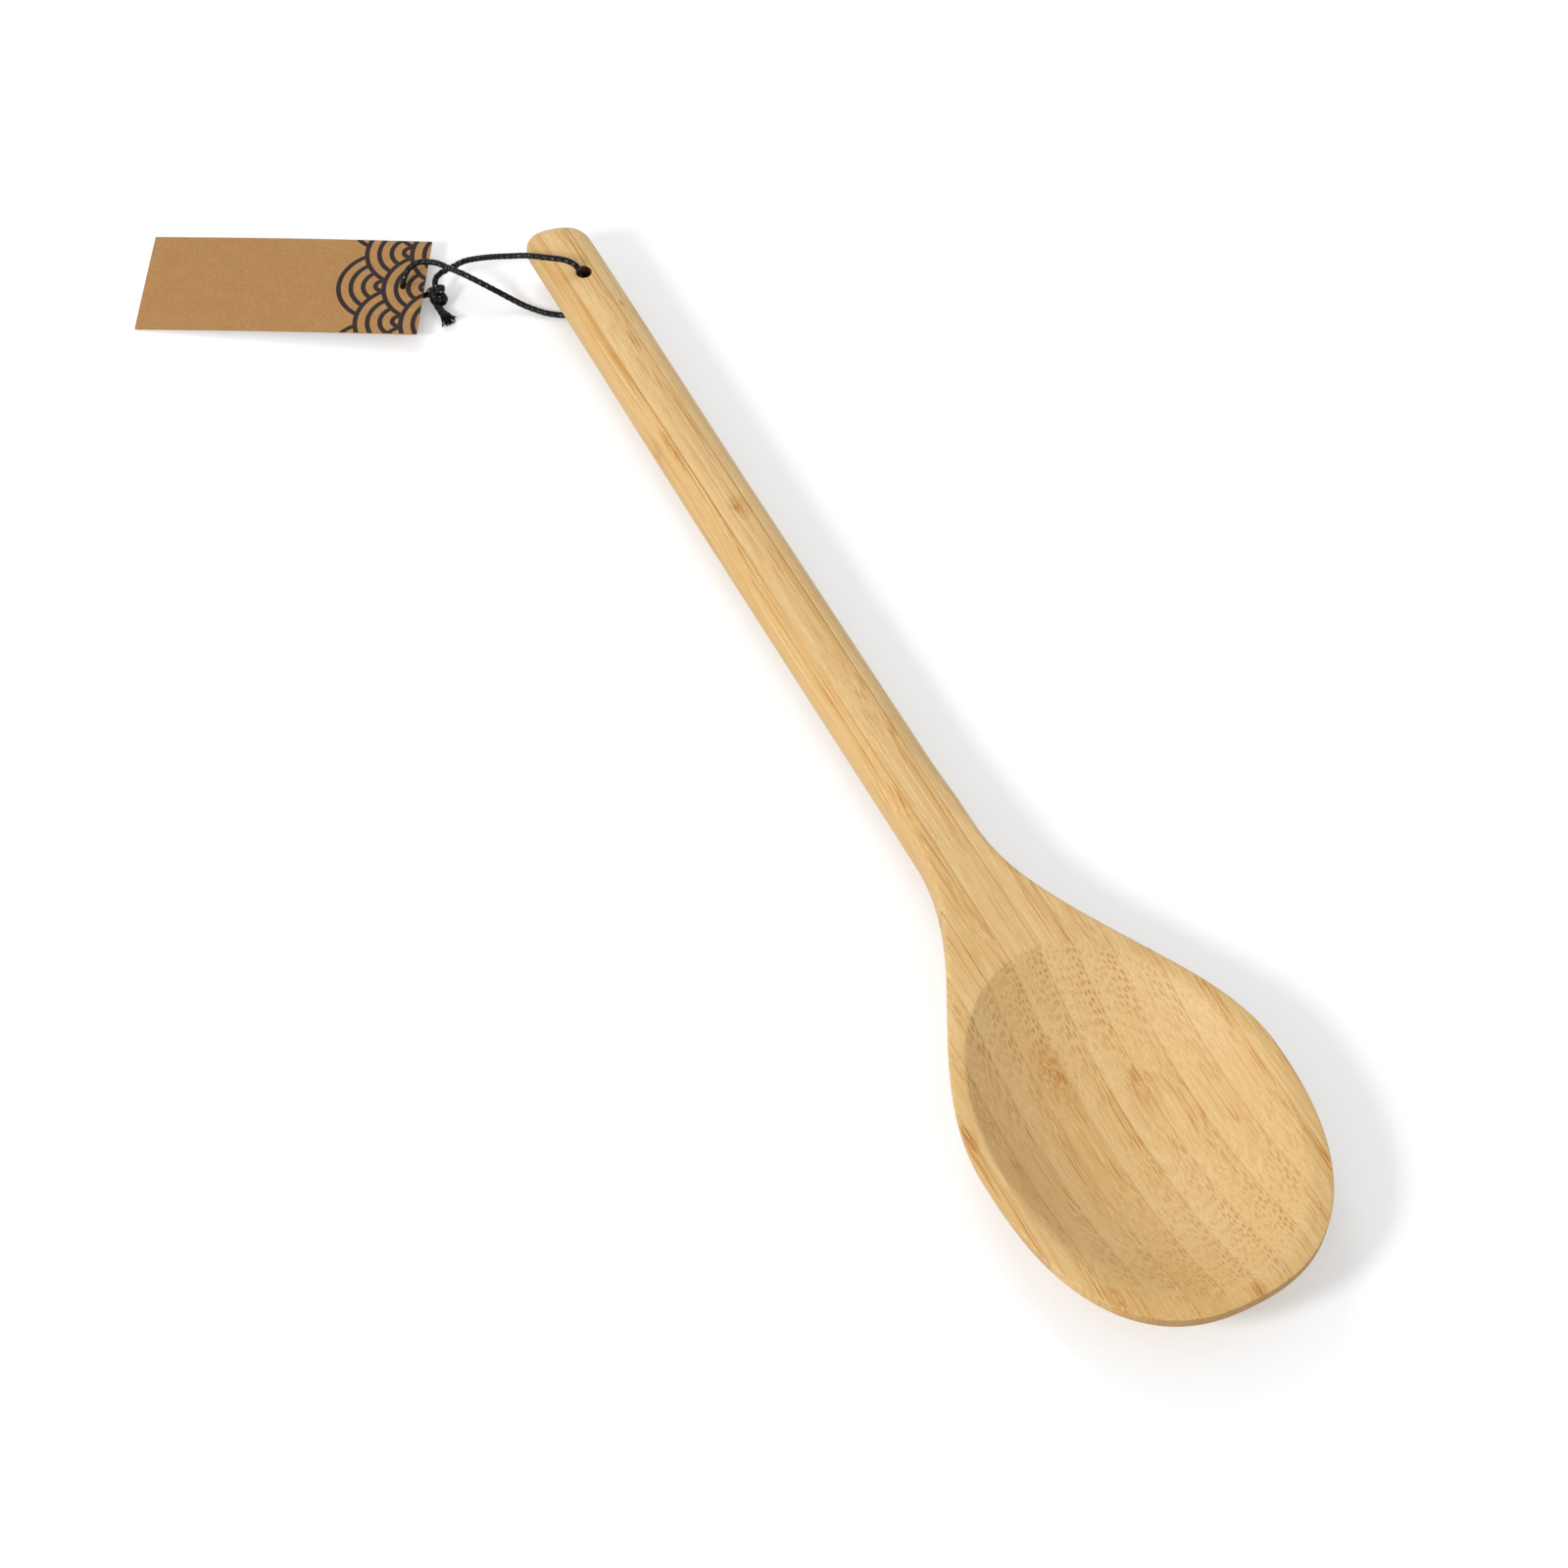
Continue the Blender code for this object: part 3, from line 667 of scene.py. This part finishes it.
# %% Drill the hanging hole
BORE, BORE_X, MOUTH, DRILL_SIDES = 1.85, 0.55, 4.5, 40
DRILL_PROFILE = [  # radius and height, from well above the spoon to below the floor
    (MOUTH, 30), (MOUTH, 18.2), (BORE, 15.75), (BORE, 2.85), (MOUTH, 0.4), (MOUTH, -10)]


def drill():
    points = []
    for out, height in DRILL_PROFILE:
        for k in range(DRILL_SIDES):
            angle = 2 * math.pi * k / DRILL_SIDES
            points.append((BORE_X + out * math.cos(angle), HOLE_Y + out * math.sin(angle), height))
    faces = ring_faces(len(DRILL_PROFILE), DRILL_SIDES)
    faces.append(tuple(range(DRILL_SIDES)))
    faces.append(tuple(range(len(points) - DRILL_SIDES, len(points)))[::-1])
    return mesh_of("drill", points, faces)


cutter = add_object("drill", drill())
blank = add_object("blank", strip_meshes["strip_center"])
cut = blank.modifiers.new("hanging_hole", "BOOLEAN")
cut.operation = "DIFFERENCE"
cut.object = cutter
bpy.context.view_layer.update()
drilled = blank.evaluated_get(bpy.context.evaluated_depsgraph_get())
strip_meshes["strip_center"] = bpy.data.meshes.new_from_object(drilled)
for item in (cutter, blank):
    bpy.data.objects.remove(item)
print("middle strip:", len(strip_meshes["strip_center"].polygons), "faces after drilling")

# %% [markdown]
# Bamboo is a grass. Its culm is split into strips, and side-pressed boards stand those strips on edge, so
# each strip shows the culm's wall from its soft inside, on the left, to its hard skin, on the right. The mesh
# carries what the shader must know: a grain coordinate whose first two numbers lie across the fibres and
# whose third runs along them, the place across the strip, the strip's own tone from pale to amber, the glue
# film's strength, and stains with painted shade. The tone deepens towards the tip, most on the left. The
# fibres wander slowly, and they part a little round a joint of the culm. The bore is painted dark brown as
# shade and counts as the deepest stain value.

# %% Grain of the strips
MARKS = [  # where a joint of the culm or a gum streak shows: x, y, half width, half length, depth
    (-6.2, -98, 4.6, 9.5, 0.66), (9.8, -109, 3.6, 7.5, 0.5), (0.9, 62.3, 3.2, 4.5, 0.8),
    (-4.9, 85, 1.0, 8.5, 1.2), (-7.1, 89, 0.8, 4.0, 0.6), (-4.3, -38.5, 2.4, 5.5, 0.3),
    (4.5, 132, 0.8, 1.3, 0.9), (-23.8, -152, 1.6, 7.0, 0.85), (3.0, -164, 2.0, 5.0, 0.7),
    (-32.4, -107, 1.8, 4.5, 0.9)]
PARTING, STAIN_CORE, STAIN_END, BORE_SHADE_LEVEL, BORE_SHADE_REACH = 0.25, 0.15, 1.15, 2.0, 0.1
WANDER = ((0.8, 34, 2.1), (0.4, 13, 5.3))  # how far, over what length, and the shift from strip to strip
WANDER_SIDEWAYS = 0.35
STRIP_SHIFT = 37.7  # how far apart in the pattern neighbouring strips lie
TIP_TONE, TIP_TONE_LEFT, TIP_TONE_FROM, TIP_TONE_TO = 0.6, 0.019, -136, -160
BOWL_FILM, FILM_FROM, FILM_TO = 0.2, -85, -25
FILM_SWING, FILM_LENGTH, FILM_SHIFT = 0.3, 23, 4.1  # how far, over what length, and from strip to strip
FAINT, FAINT_Y, FAINT_LONG, FAINT_WIDE = 0.8, 18, 22, 2  # a stretch where one glue line fades
SHARP_EDGE = 55  # degrees


def describe_grain(mesh, number, start, end, tone):
    flat = np.empty(len(mesh.vertices) * 3, np.float32)
    mesh.vertices.foreach_get("co", flat)
    x, y, z = flat.reshape(-1, 3).T.astype(float) / MM
    sway = sum(far * np.sin(y / length + shift * number) for far, length, shift in WANDER)
    part, stain_and_shade = np.zeros(len(x)), np.zeros(len(x))
    for at_x, at_y, wide, long, depth in MARKS:
        off = np.hypot((x - at_x) / wide, (y - at_y) / long)
        part -= PARTING * (x - at_x) * np.exp(-off**2)
        stain_and_shade = np.maximum(stain_and_shade, depth * (1 - ease(STAIN_CORE, STAIN_END, off)))
    # the bore and its mouth get the painted-shade level, above any stain
    stain_and_shade = np.where(np.hypot(x - BORE_X, y - HOLE_Y) < BORE + BORE_SHADE_REACH, BORE_SHADE_LEVEL, stain_and_shade)
    film = mix(BOWL_FILM, 1, ease(FILM_FROM, FILM_TO, y))
    film *= 1 - FILM_SWING + FILM_SWING * np.sin(y / FILM_LENGTH + FILM_SHIFT * number)
    film *= 1 - FAINT * np.exp(-((y - FAINT_Y) / FAINT_LONG) ** 2 - ((x - CENTER_FROM) / FAINT_WIDE) ** 2)
    sideways = x + part + WANDER_SIDEWAYS * sway + STRIP_SHIFT * number
    store(mesh, "grain", np.column_stack([sideways, z + sway, y]))
    store(mesh, "across", (x - start) / (end - start))
    # the tone deepens towards the tip, most on the left
    store(mesh, "tone", tone + (TIP_TONE - TIP_TONE_LEFT * x) * ease(TIP_TONE_FROM, TIP_TONE_TO, y))
    store(mesh, "film", film)
    store(mesh, "stain_and_shade", stain_and_shade)


for number, (name, (start, end, tone)) in enumerate(STRIPS.items()):
    describe_grain(strip_meshes[name], number, start, end, tone)
    strip_meshes[name].set_sharp_from_angle(angle=math.radians(SHARP_EDGE))
print("points with grain:", sum(len(mesh.vertices) for mesh in strip_meshes.values()))

# %% [markdown]
# Brown bundles of vessels run lengthwise through pale tissue, few and large inside, many and fine at the
# skin. Sawn along, they draw lines; where the scoop cuts across them they show as dots. No picture can wrap
# round that, but a solid pattern can. Cells in the two directions across the grain make the bundles, and
# noises stretched along it make fibres of several sizes. Single fibres are 0.02 mm thick, so the finest
# noise stands for small groups of them.

# %% Bundles and fibres
# Bundles near the skin and inside: spacing in millimetres, radius as a share of the spacing, the places
# across the strip where there are none and where there are most, and strength.
BUNDLES = [(0.9, 0.4, 0.15, 0.8, 1.0), (1.4, 0.26, 0.8, 0.4, 0.6)]
FIBRES = {  # width across the grain and length along it, in millimetres
    "patches": (2.5, 16), "broad": (3.3, 50), "long": (0.26, 50), "short": (0.14, 2.5),
    "hairline": (0.42, 130), "strokes": (0.26, 3.6)}


def fibre_noises(tree, grain):
    noises = {}
    for name, (wide, long) in FIBRES.items():
        scaled = node(tree, "ShaderNodeVectorMath", {0: grain, 1: (1 / wide, 1 / wide, 1 / long)},
                      operation="MULTIPLY")
        noises[name] = node(tree, "ShaderNodeTexNoise", {
            "Vector": scaled, "Scale": 1.0, "Detail": 2.0, "Roughness": 0.55})
    return noises


def vessel_bundles(tree, grain, across, patches):
    """Up to 1 in the middle of a bundle and 0 between: dense near the skin, sparse inside."""
    found = 0.0
    for spacing, size, bare, full, strength in BUNDLES:
        cells = node(tree, "ShaderNodeTexVoronoi", {
            "Vector": grain, "Scale": 1 / spacing, "Randomness": 0.55}, voronoi_dimensions="2D")
        dots = node(tree, "ShaderNodeMapRange", {0: cells, 1: size / 2.5, 2: size, 3: 1.0, 4: 0.0})
        zone = node(tree, "ShaderNodeMapRange", {0: across, 1: bare, 2: full, 3: 0.0, 4: strength})
        here = node(tree, "ShaderNodeMath", {0: dots, 1: zone}, operation="MULTIPLY")
        found = node(tree, "ShaderNodeMath", {0: found, 1: here}, operation="MAXIMUM")
    uneven = node(tree, "ShaderNodeMapRange", {0: patches, 1: 0.3, 2: 0.6, 3: 0.45, 4: 1.0})
    return node(tree, "ShaderNodeMath", {0: found, 1: uneven}, operation="MULTIPLY")


print("fibre sizes:", FIBRES)

# %% [markdown]
# The colour is built up in layers, and each function below lays one on the colour it is given. First comes
# the pale tissue, browner towards the strip's skin side and streaked by its fibres, then the vessels, which
# look darker where they are cut across. Surfaces that face the tip or the butt turn browner: partly end grain
# that drinks the oil, partly painted shade on those walls.

# %% Tissue, vessels, end grain and painted shade
PALE, AMBER, LENGTHWISE_VESSEL, CUT_VESSEL, OILED_AND_SHADED_END = "#EACA92", "#DFBA7C", "#CB954A", "#AA7A3E", "#A87A44"


def tissue(tree, tone, across, noises):
    colour = node(tree, "ShaderNodeMix", {0: tone, 6: linear(PALE), 7: linear(AMBER)},
                  data_type="RGBA", clamp_factor=False)
    for field, start, end, share, tint in [
            (across, 0.25, 1.0, 0.5, "#DCB479"), (noises["broad"], 0.35, 0.7, 0.28, "#DBAF6A"),
            (noises["long"], 0.48, 0.68, 0.5, "#D3A257"), (noises["long"], 0.44, 0.30, 0.4, "#F2DCB0"),
            (noises["short"], 0.42, 0.75, 0.4, "#CA9C58")]:
        amount = node(tree, "ShaderNodeMapRange", {0: field, 1: start, 2: end, 3: 0.0, 4: share},
                      interpolation_type="SMOOTHSTEP")
        colour = node(tree, "ShaderNodeMix", {0: amount, 6: colour, 7: linear(tint)}, data_type="RGBA")
    return colour


def lay_vessels(tree, colour, bundles, cut_across):
    vessel = node(tree, "ShaderNodeMix", {0: cut_across, 6: linear(LENGTHWISE_VESSEL), 7: linear(CUT_VESSEL)},
                  data_type="RGBA")
    depth = node(tree, "ShaderNodeMapRange", {0: cut_across, 1: 0.0, 2: 1.0, 3: 0.33, 4: 0.7})
    amount = node(tree, "ShaderNodeMath", {0: bundles, 1: depth}, operation="MULTIPLY")
    return node(tree, "ShaderNodeMix", {0: amount, 6: colour, 7: vessel}, data_type="RGBA")


def lay_end_grain_and_shade(tree, colour, tilt):
    # browner where the surface faces the tip or the butt: end grain soaking up oil, and painted shade on
    # those walls
    amount = node(tree, "ShaderNodeMapRange", {0: tilt, 1: 0.56, 2: 0.8, 3: 0.0, 4: 0.6})
    return node(tree, "ShaderNodeMix", {0: amount, 6: colour, 7: linear(OILED_AND_SHADED_END)}, data_type="RGBA")


print("tissue from", PALE, "to", AMBER, "and vessels from", LENGTHWISE_VESSEL, "to", CUT_VESSEL)

# %% [markdown]
# Dark hairlines run along the strips near their skin side and end where the scoop cuts across the grain.
# Stains follow the vessel bundles and short strokes of fibre, so that they look like stained grain and not
# like blots. Last come the glue lines at both edges of every strip.

# %% Hairlines, stains, painted bore shade and glue
HAIRLINE, STAINED, BORE_SHADE_BROWN, GLUE = "#BE8437", "#B87B32", "#3A1F10", "#A86C26"


def lay_hairlines(tree, colour, across, cut_across, noises):
    ridge = node(tree, "ShaderNodeMapRange", {0: noises["hairline"], 1: 0.54, 2: 0.59, 3: 0.0, 4: 0.95})
    for field, start, end, low, high in [(across, 0.3, 0.85, 0.3, 1.0), (cut_across, 0.0, 0.8, 1.0, 0.0),
                                         (noises["patches"], 0.3, 0.6, 0.35, 1.0)]:
        mask = node(tree, "ShaderNodeMapRange", {0: field, 1: start, 2: end, 3: low, 4: high})
        ridge = node(tree, "ShaderNodeMath", {0: ridge, 1: mask}, operation="MULTIPLY")
    return node(tree, "ShaderNodeMix", {0: ridge, 6: colour, 7: linear(HAIRLINE)}, data_type="RGBA")


def lay_stains_and_bore_shade(tree, colour, stain_and_shade, bundles, noises):
    strokes = node(tree, "ShaderNodeMapRange", {0: noises["strokes"], 1: 0.46, 2: 0.54, 3: 0.1, 4: 0.8})
    streaks = node(tree, "ShaderNodeMath", {0: bundles, 1: 1.1, 2: strokes}, operation="MULTIPLY_ADD")
    amount = node(tree, "ShaderNodeMath", {0: stain_and_shade, 1: streaks}, operation="MULTIPLY", use_clamp=True)
    colour = node(tree, "ShaderNodeMix", {0: amount, 6: colour, 7: linear(STAINED)}, data_type="RGBA")
    # painted shade: the bore is coloured near black-brown
    bore_shade = node(tree, "ShaderNodeMapRange", {0: stain_and_shade, 1: 1.2, 2: 1.9, 3: 0.0, 4: 0.9})
    return node(tree, "ShaderNodeMix", {0: bore_shade, 6: colour, 7: linear(BORE_SHADE_BROWN)}, data_type="RGBA")


def lay_glue(tree, colour, across, film):
    middle = node(tree, "ShaderNodeMath", {0: across, 1: 0.5}, operation="SUBTRACT")
    offset = node(tree, "ShaderNodeMath", {0: middle}, operation="ABSOLUTE")
    line = node(tree, "ShaderNodeMapRange", {0: offset, 1: 0.472, 2: 0.492, 3: 0.0, 4: 1.0})
    amount = node(tree, "ShaderNodeMath", {0: line, 1: film}, operation="MULTIPLY")
    return node(tree, "ShaderNodeMix", {0: amount, 6: colour, 7: linear(GLUE)}, data_type="RGBA")


print("hairlines", HAIRLINE, "stains", STAINED, "glue", GLUE)

# %% [markdown]
# The wood is bare bamboo, sanded and lightly oiled. That gives the eye a soft satin gloss, broken by the
# pores of the vessels. How far the surface leans towards the tip or the butt tells where it cuts across the
# grain.

# %% Side-pressed bamboo
def side_pressed_bamboo():
    finish, tree = new_finish("side_pressed_bamboo")
    grain = node(tree, "ShaderNodeAttribute", attribute_name="grain").outputs["Vector"]
    across, tone, film, stain_and_shade = [node(tree, "ShaderNodeAttribute", attribute_name=name).outputs["Fac"]
                                 for name in ("across", "tone", "film", "stain_and_shade")]
    normal = node(tree, "ShaderNodeTexCoord").outputs["Normal"]
    lengthwise = node(tree, "ShaderNodeSeparateXYZ", {0: normal}).outputs["Y"]
    tilt = node(tree, "ShaderNodeMath", {0: lengthwise}, operation="ABSOLUTE")
    cut_across = node(tree, "ShaderNodeMapRange", {0: tilt, 1: 0.04, 2: 0.34, 3: 0.0, 4: 1.0})
    noises = fibre_noises(tree, grain)
    bundles = vessel_bundles(tree, grain, across, noises["patches"])

    colour = tissue(tree, tone, across, noises)
    colour = lay_vessels(tree, colour, bundles, cut_across)
    colour = lay_end_grain_and_shade(tree, colour, tilt)
    colour = lay_hairlines(tree, colour, across, cut_across, noises)
    colour = lay_stains_and_bore_shade(tree, colour, stain_and_shade, bundles, noises)
    colour = lay_glue(tree, colour, across, film)

    satin = node(tree, "ShaderNodeMapRange", {0: noises["short"], 1: 0.2, 2: 0.8, 3: 0.42, 4: 0.58})
    pores = node(tree, "ShaderNodeMath", {0: bundles, 1: -0.7, 2: noises["short"]}, operation="MULTIPLY_ADD")
    bump = node(tree, "ShaderNodeBump", {"Height": pores, "Strength": 0.5, "Distance": 0.04 * MM})
    wood = node(tree, "ShaderNodeBsdfPrincipled", {
        "Base Color": colour, "Roughness": satin, "Normal": bump, "IOR": 1.5})
    node(tree, "ShaderNodeOutputMaterial", {"Surface": wood})
    return finish


bamboo = side_pressed_bamboo()
for name, mesh in strip_meshes.items():
    add_piece("bamboo_" + name, mesh, bamboo, "spoon", "bamboo", name)
print("made", bamboo.name, "with", len(bamboo.node_tree.nodes), "nodes")

# %% [markdown]
# Dark brown ink prints a band of overlapping waves at the tag's punched end, the old seigaiha pattern of
# fish-scale arcs. The shader draws it row by row: each row of circles hides the rows behind it, and only the
# distance to the circle in front is kept, which then becomes evenly spaced lines.

# %% Printed waves
WAVE_RADIUS, ROW_STEP, ROWS, FIRST_ROW = 11.4, 5.7, 4, -11.6
LINE_STEP, LINE_HALF, LINE_ROUGH, INK_FULL, INK_GONE = 3.1, 0.6, 0.16, 0.04, 0.14
INK_BLEED, UPPER_FACE, FAR_AWAY = 1 / 3, 0.12, 500


def wave_ink(tree, in_mm):
    """1 on the printed lines, on the upper face of the card only."""
    flat = node(tree, "ShaderNodeVectorMath", {0: in_mm, 1: (1, 1, 0)}, operation="MULTIPLY")
    reach = WAVE_RADIUS - LINE_HALF + LINE_STEP / 2
    for row in reversed(range(ROWS)):
        x, y = FIRST_ROW + ROW_STEP * row, WAVE_RADIUS * ((row + 1) % 2)
        top, bottom = (FAR_AWAY, y + WAVE_RADIUS, 1), (-FAR_AWAY, y - WAVE_RADIUS, -1)
        repeated = node(tree, "ShaderNodeVectorMath", {0: flat, 1: top, 2: bottom}, operation="WRAP")
        away = node(tree, "ShaderNodeVectorMath", {0: repeated, 1: (x, y, 0)}, operation="DISTANCE")
        covers = node(tree, "ShaderNodeMath", {0: away, 1: WAVE_RADIUS}, operation="LESS_THAN")
        reach = node(tree, "ShaderNodeMix", {0: covers, 2: reach, 3: away})
    from_edge = node(tree, "ShaderNodeMath", {0: reach, 1: WAVE_RADIUS - LINE_HALF}, operation="SUBTRACT")
    nearest = node(tree, "ShaderNodeMath", {0: from_edge, 1: LINE_STEP / 2, 2: -LINE_STEP / 2},
                   operation="WRAP")
    to_line = node(tree, "ShaderNodeMath", {0: nearest}, operation="ABSOLUTE")
    rough = node(tree, "ShaderNodeTexNoise", {"Vector": in_mm, "Scale": 1 / INK_BLEED, "Detail": 2.0})
    to_line = node(tree, "ShaderNodeMath", {0: rough, 1: LINE_ROUGH, 2: to_line}, operation="MULTIPLY_ADD")
    inked = node(tree, "ShaderNodeMapRange", {
        0: to_line, 1: LINE_HALF + INK_FULL, 2: LINE_HALF + INK_GONE, 3: 1.0, 4: 0.0})
    height = node(tree, "ShaderNodeSeparateXYZ", {0: in_mm}).outputs["Z"]
    on_face = node(tree, "ShaderNodeMath", {0: height, 1: UPPER_FACE}, operation="GREATER_THAN")
    return node(tree, "ShaderNodeMath", {0: inked, 1: on_face}, operation="MULTIPLY")


print("waves of", 2 * WAVE_RADIUS, "mm in", ROWS, "rows")

# %% [markdown]
# The tag is uncoated kraft card: unbleached pulp, rolled and dried. That gives the eye a warm brown with
# lighter and darker fibres, matt, and a little rough.

# %% Kraft card
PULP, CLOUD, SPECK = 0.8, 5.0, 0.45  # sizes of the patterns in millimetres
CARD_FIBRES = (0.7, 4.0, 4.0)  # how many of them to a millimetre, along and across


def kraft_card():
    finish, tree = new_finish("uncoated_kraft_card")
    place = node(tree, "ShaderNodeTexCoord").outputs["Object"]
    in_mm = node(tree, "ShaderNodeVectorMath", {0: place, "Scale": 1 / MM}, operation="SCALE")
    pulp = node(tree, "ShaderNodeTexNoise", {
        "Vector": in_mm, "Scale": 1 / PULP, "Detail": 6.0, "Roughness": 0.7})
    cloud = node(tree, "ShaderNodeTexNoise", {"Vector": in_mm, "Scale": 1 / CLOUD, "Detail": 3.0})
    stretched = node(tree, "ShaderNodeVectorMath", {0: in_mm, 1: CARD_FIBRES}, operation="MULTIPLY")
    fibre = node(tree, "ShaderNodeTexNoise", {
        "Vector": stretched, "Scale": 1.0, "Detail": 3.0, "Distortion": 2.5})
    speck = node(tree, "ShaderNodeTexNoise", {"Vector": in_mm, "Scale": 1 / SPECK, "Detail": 1.0})
    colour = node(tree, "ShaderNodeRGB").outputs[0]
    colour.default_value = linear("#B48650")
    for field, start, end, share, tint in [
            (pulp, 0.42, 0.72, 0.6, "#9B6F43"), (cloud, 0.4, 0.65, 0.3, "#A67A4A"),
            (fibre, 0.55, 0.75, 0.4, "#C59A66"), (speck, 0.66, 0.74, 0.5, "#7C5430"),
            (wave_ink(tree, in_mm), 0.0, 1.0, 1.0, "#2B2020")]:
        amount = node(tree, "ShaderNodeMapRange", {0: field, 1: start, 2: end, 3: 0.0, 4: share})
        colour = node(tree, "ShaderNodeMix", {0: amount, 6: colour, 7: linear(tint)}, data_type="RGBA")
    matt = node(tree, "ShaderNodeMapRange", {0: pulp, 1: 0.3, 2: 0.7, 3: 0.78, 4: 0.92})
    bump = node(tree, "ShaderNodeBump", {"Height": pulp, "Strength": 0.4, "Distance": 0.05 * MM})
    card = node(tree, "ShaderNodeBsdfPrincipled", {
        "Base Color": colour, "Roughness": matt, "Normal": bump, "IOR": 1.48})
    node(tree, "ShaderNodeOutputMaterial", {"Surface": card})
    return finish


kraft = kraft_card()
print("made", kraft.name)

# %% [markdown]
# The card is one layer of faces that spreads from the punched hole to the edges, so it can bow a little, as
# card does. Solidify gives it half a millimetre of thickness and a fine bevel takes the sharpness off.

# %% Card tag
TAG_END, TAG_FAR, TAG_HALF, TAG_HOLE = -5.3, 65.7, 15.3, 0.86
TAG_PLACE = Vector((-37.4, 26.4 + HOLE_Y, 3.74)) * MM
TAG_HEADING, TAG_FALL = math.radians(148.5), math.radians(2.8)
CARD_THICK, SOFT_EDGE, EDGE_ANGLE = 0.5, 0.08, 50  # two sizes in millimetres and an angle in degrees
OUTLINE_STEP, CARD_RINGS, RING_SPREAD = 1.6, 26, 1.3
BOW_ALONG, BOW_ACROSS = 0.3, 0.1


def card_outline(spacing):
    corners = np.array([(TAG_FAR, TAG_HALF), (TAG_END, TAG_HALF), (TAG_END, -TAG_HALF), (TAG_FAR, -TAG_HALF)])
    sides = []
    for a, b in zip(corners, np.roll(corners, -1, 0)):
        count = round(np.linalg.norm(b - a) / spacing)
        sides.append(a + (b - a) * np.arange(count)[:, None] / count)
    return np.vstack(sides)


outline = card_outline(OUTLINE_STEP)
angles = np.arctan2(outline[:, 1], outline[:, 0])
punched = TAG_HOLE * np.column_stack([np.cos(angles), np.sin(angles)])
rings = [mix(punched, outline, share) for share in np.linspace(0, 1, CARD_RINGS) ** RING_SPREAD]
flat = np.vstack(rings)
lengthwise = np.sin(np.pi * (flat[:, 0] - TAG_END) / (TAG_FAR - TAG_END))
bow = BOW_ALONG * lengthwise - BOW_ACROSS * (flat[:, 1] / TAG_HALF) ** 2
faces = ring_faces(CARD_RINGS, len(outline))
tag_mesh = mesh_of("kraft_card_tag", np.column_stack([flat, bow]), faces)
tag_turn = Matrix.Rotation(TAG_HEADING, 4, "Z") @ Matrix.Rotation(TAG_FALL, 4, "Y")
tag_matrix = Matrix.Translation(TAG_PLACE) @ tag_turn
tag = add_piece("kraft_card_tag", tag_mesh, kraft, "tag", "card", "tag", matrix=tag_matrix)
board = tag.modifiers.new("half_millimetre_card", "SOLIDIFY")
board.thickness = CARD_THICK * MM
board.offset = 0
edge = tag.modifiers.new("soft_edge", "BEVEL")
edge.width = SOFT_EDGE * MM
edge.segments = 2
edge.limit_method = "ANGLE"
edge.angle_limit = math.radians(EDGE_ANGLE)
print("card", TAG_FAR - TAG_END, "by", 2 * TAG_HALF, "mm")

# %% [markdown]
# The studio is a pale sweep of floor under a soft light from the left, a weaker and wider one from behind,
# and an even grey surround. The floor looks white because of its own colour: for the camera it adds a little
# light of its own, and the object's soft shadow stays on it.

# %% Floor
FLOOR_REACH, FLOOR_GLOW = 6, 0.26  # metres, and a share of white
FLOOR_PAINT, WHITE = linear("#E9ECEF"), linear("#FFFFFF")


def studio_floor():
    finish, tree = new_finish("white_studio_floor")
    seen = node(tree, "ShaderNodeLightPath").outputs["Is Camera Ray"]
    paint = node(tree, "ShaderNodeBsdfDiffuse", {"Color": FLOOR_PAINT})
    glow = node(tree, "ShaderNodeEmission", {"Color": WHITE, "Strength": FLOOR_GLOW})
    both = node(tree, "ShaderNodeAddShader", {0: paint, 1: glow})
    either = node(tree, "ShaderNodeMixShader", {0: seen, 1: paint, 2: both})
    node(tree, "ShaderNodeOutputMaterial", {"Surface": either})
    return finish


corners = [(x * FLOOR_REACH, y * FLOOR_REACH, 0) for x, y in ((-1, -1), (1, -1), (1, 1), (-1, 1))]
floor_mesh = bpy.data.meshes.new("floor")
floor_mesh.from_pydata(corners, [], [(0, 1, 2, 3)])
floor = add_object("floor", floor_mesh)
floor.data.materials.append(studio_floor())
print("floor at height", floor.location.z)

# %% Light
SURROUND_STRENGTH = 0.63


def add_softbox(name, place, size, power):
    lamp = bpy.data.lights.new(name, "AREA")
    lamp.shape = "DISK"
    lamp.size = size
    lamp.energy = power
    place_and_aim(add_object(name, lamp), Vector(place), Vector((0, 0, 0)))


add_softbox("key_left", place=(-0.93, -0.14, 0.74), size=0.26, power=6.4)
add_softbox("fill_behind", place=(0.1, 0.88, 0.95), size=0.5, power=2.3)
surround = bpy.data.worlds.new("grey_surround")
bpy.context.scene.world = surround
surround.use_nodes = True
background = surround.node_tree.nodes["Background"]
background.inputs["Color"].default_value = WHITE
background.inputs["Strength"].default_value = SURROUND_STRENGTH
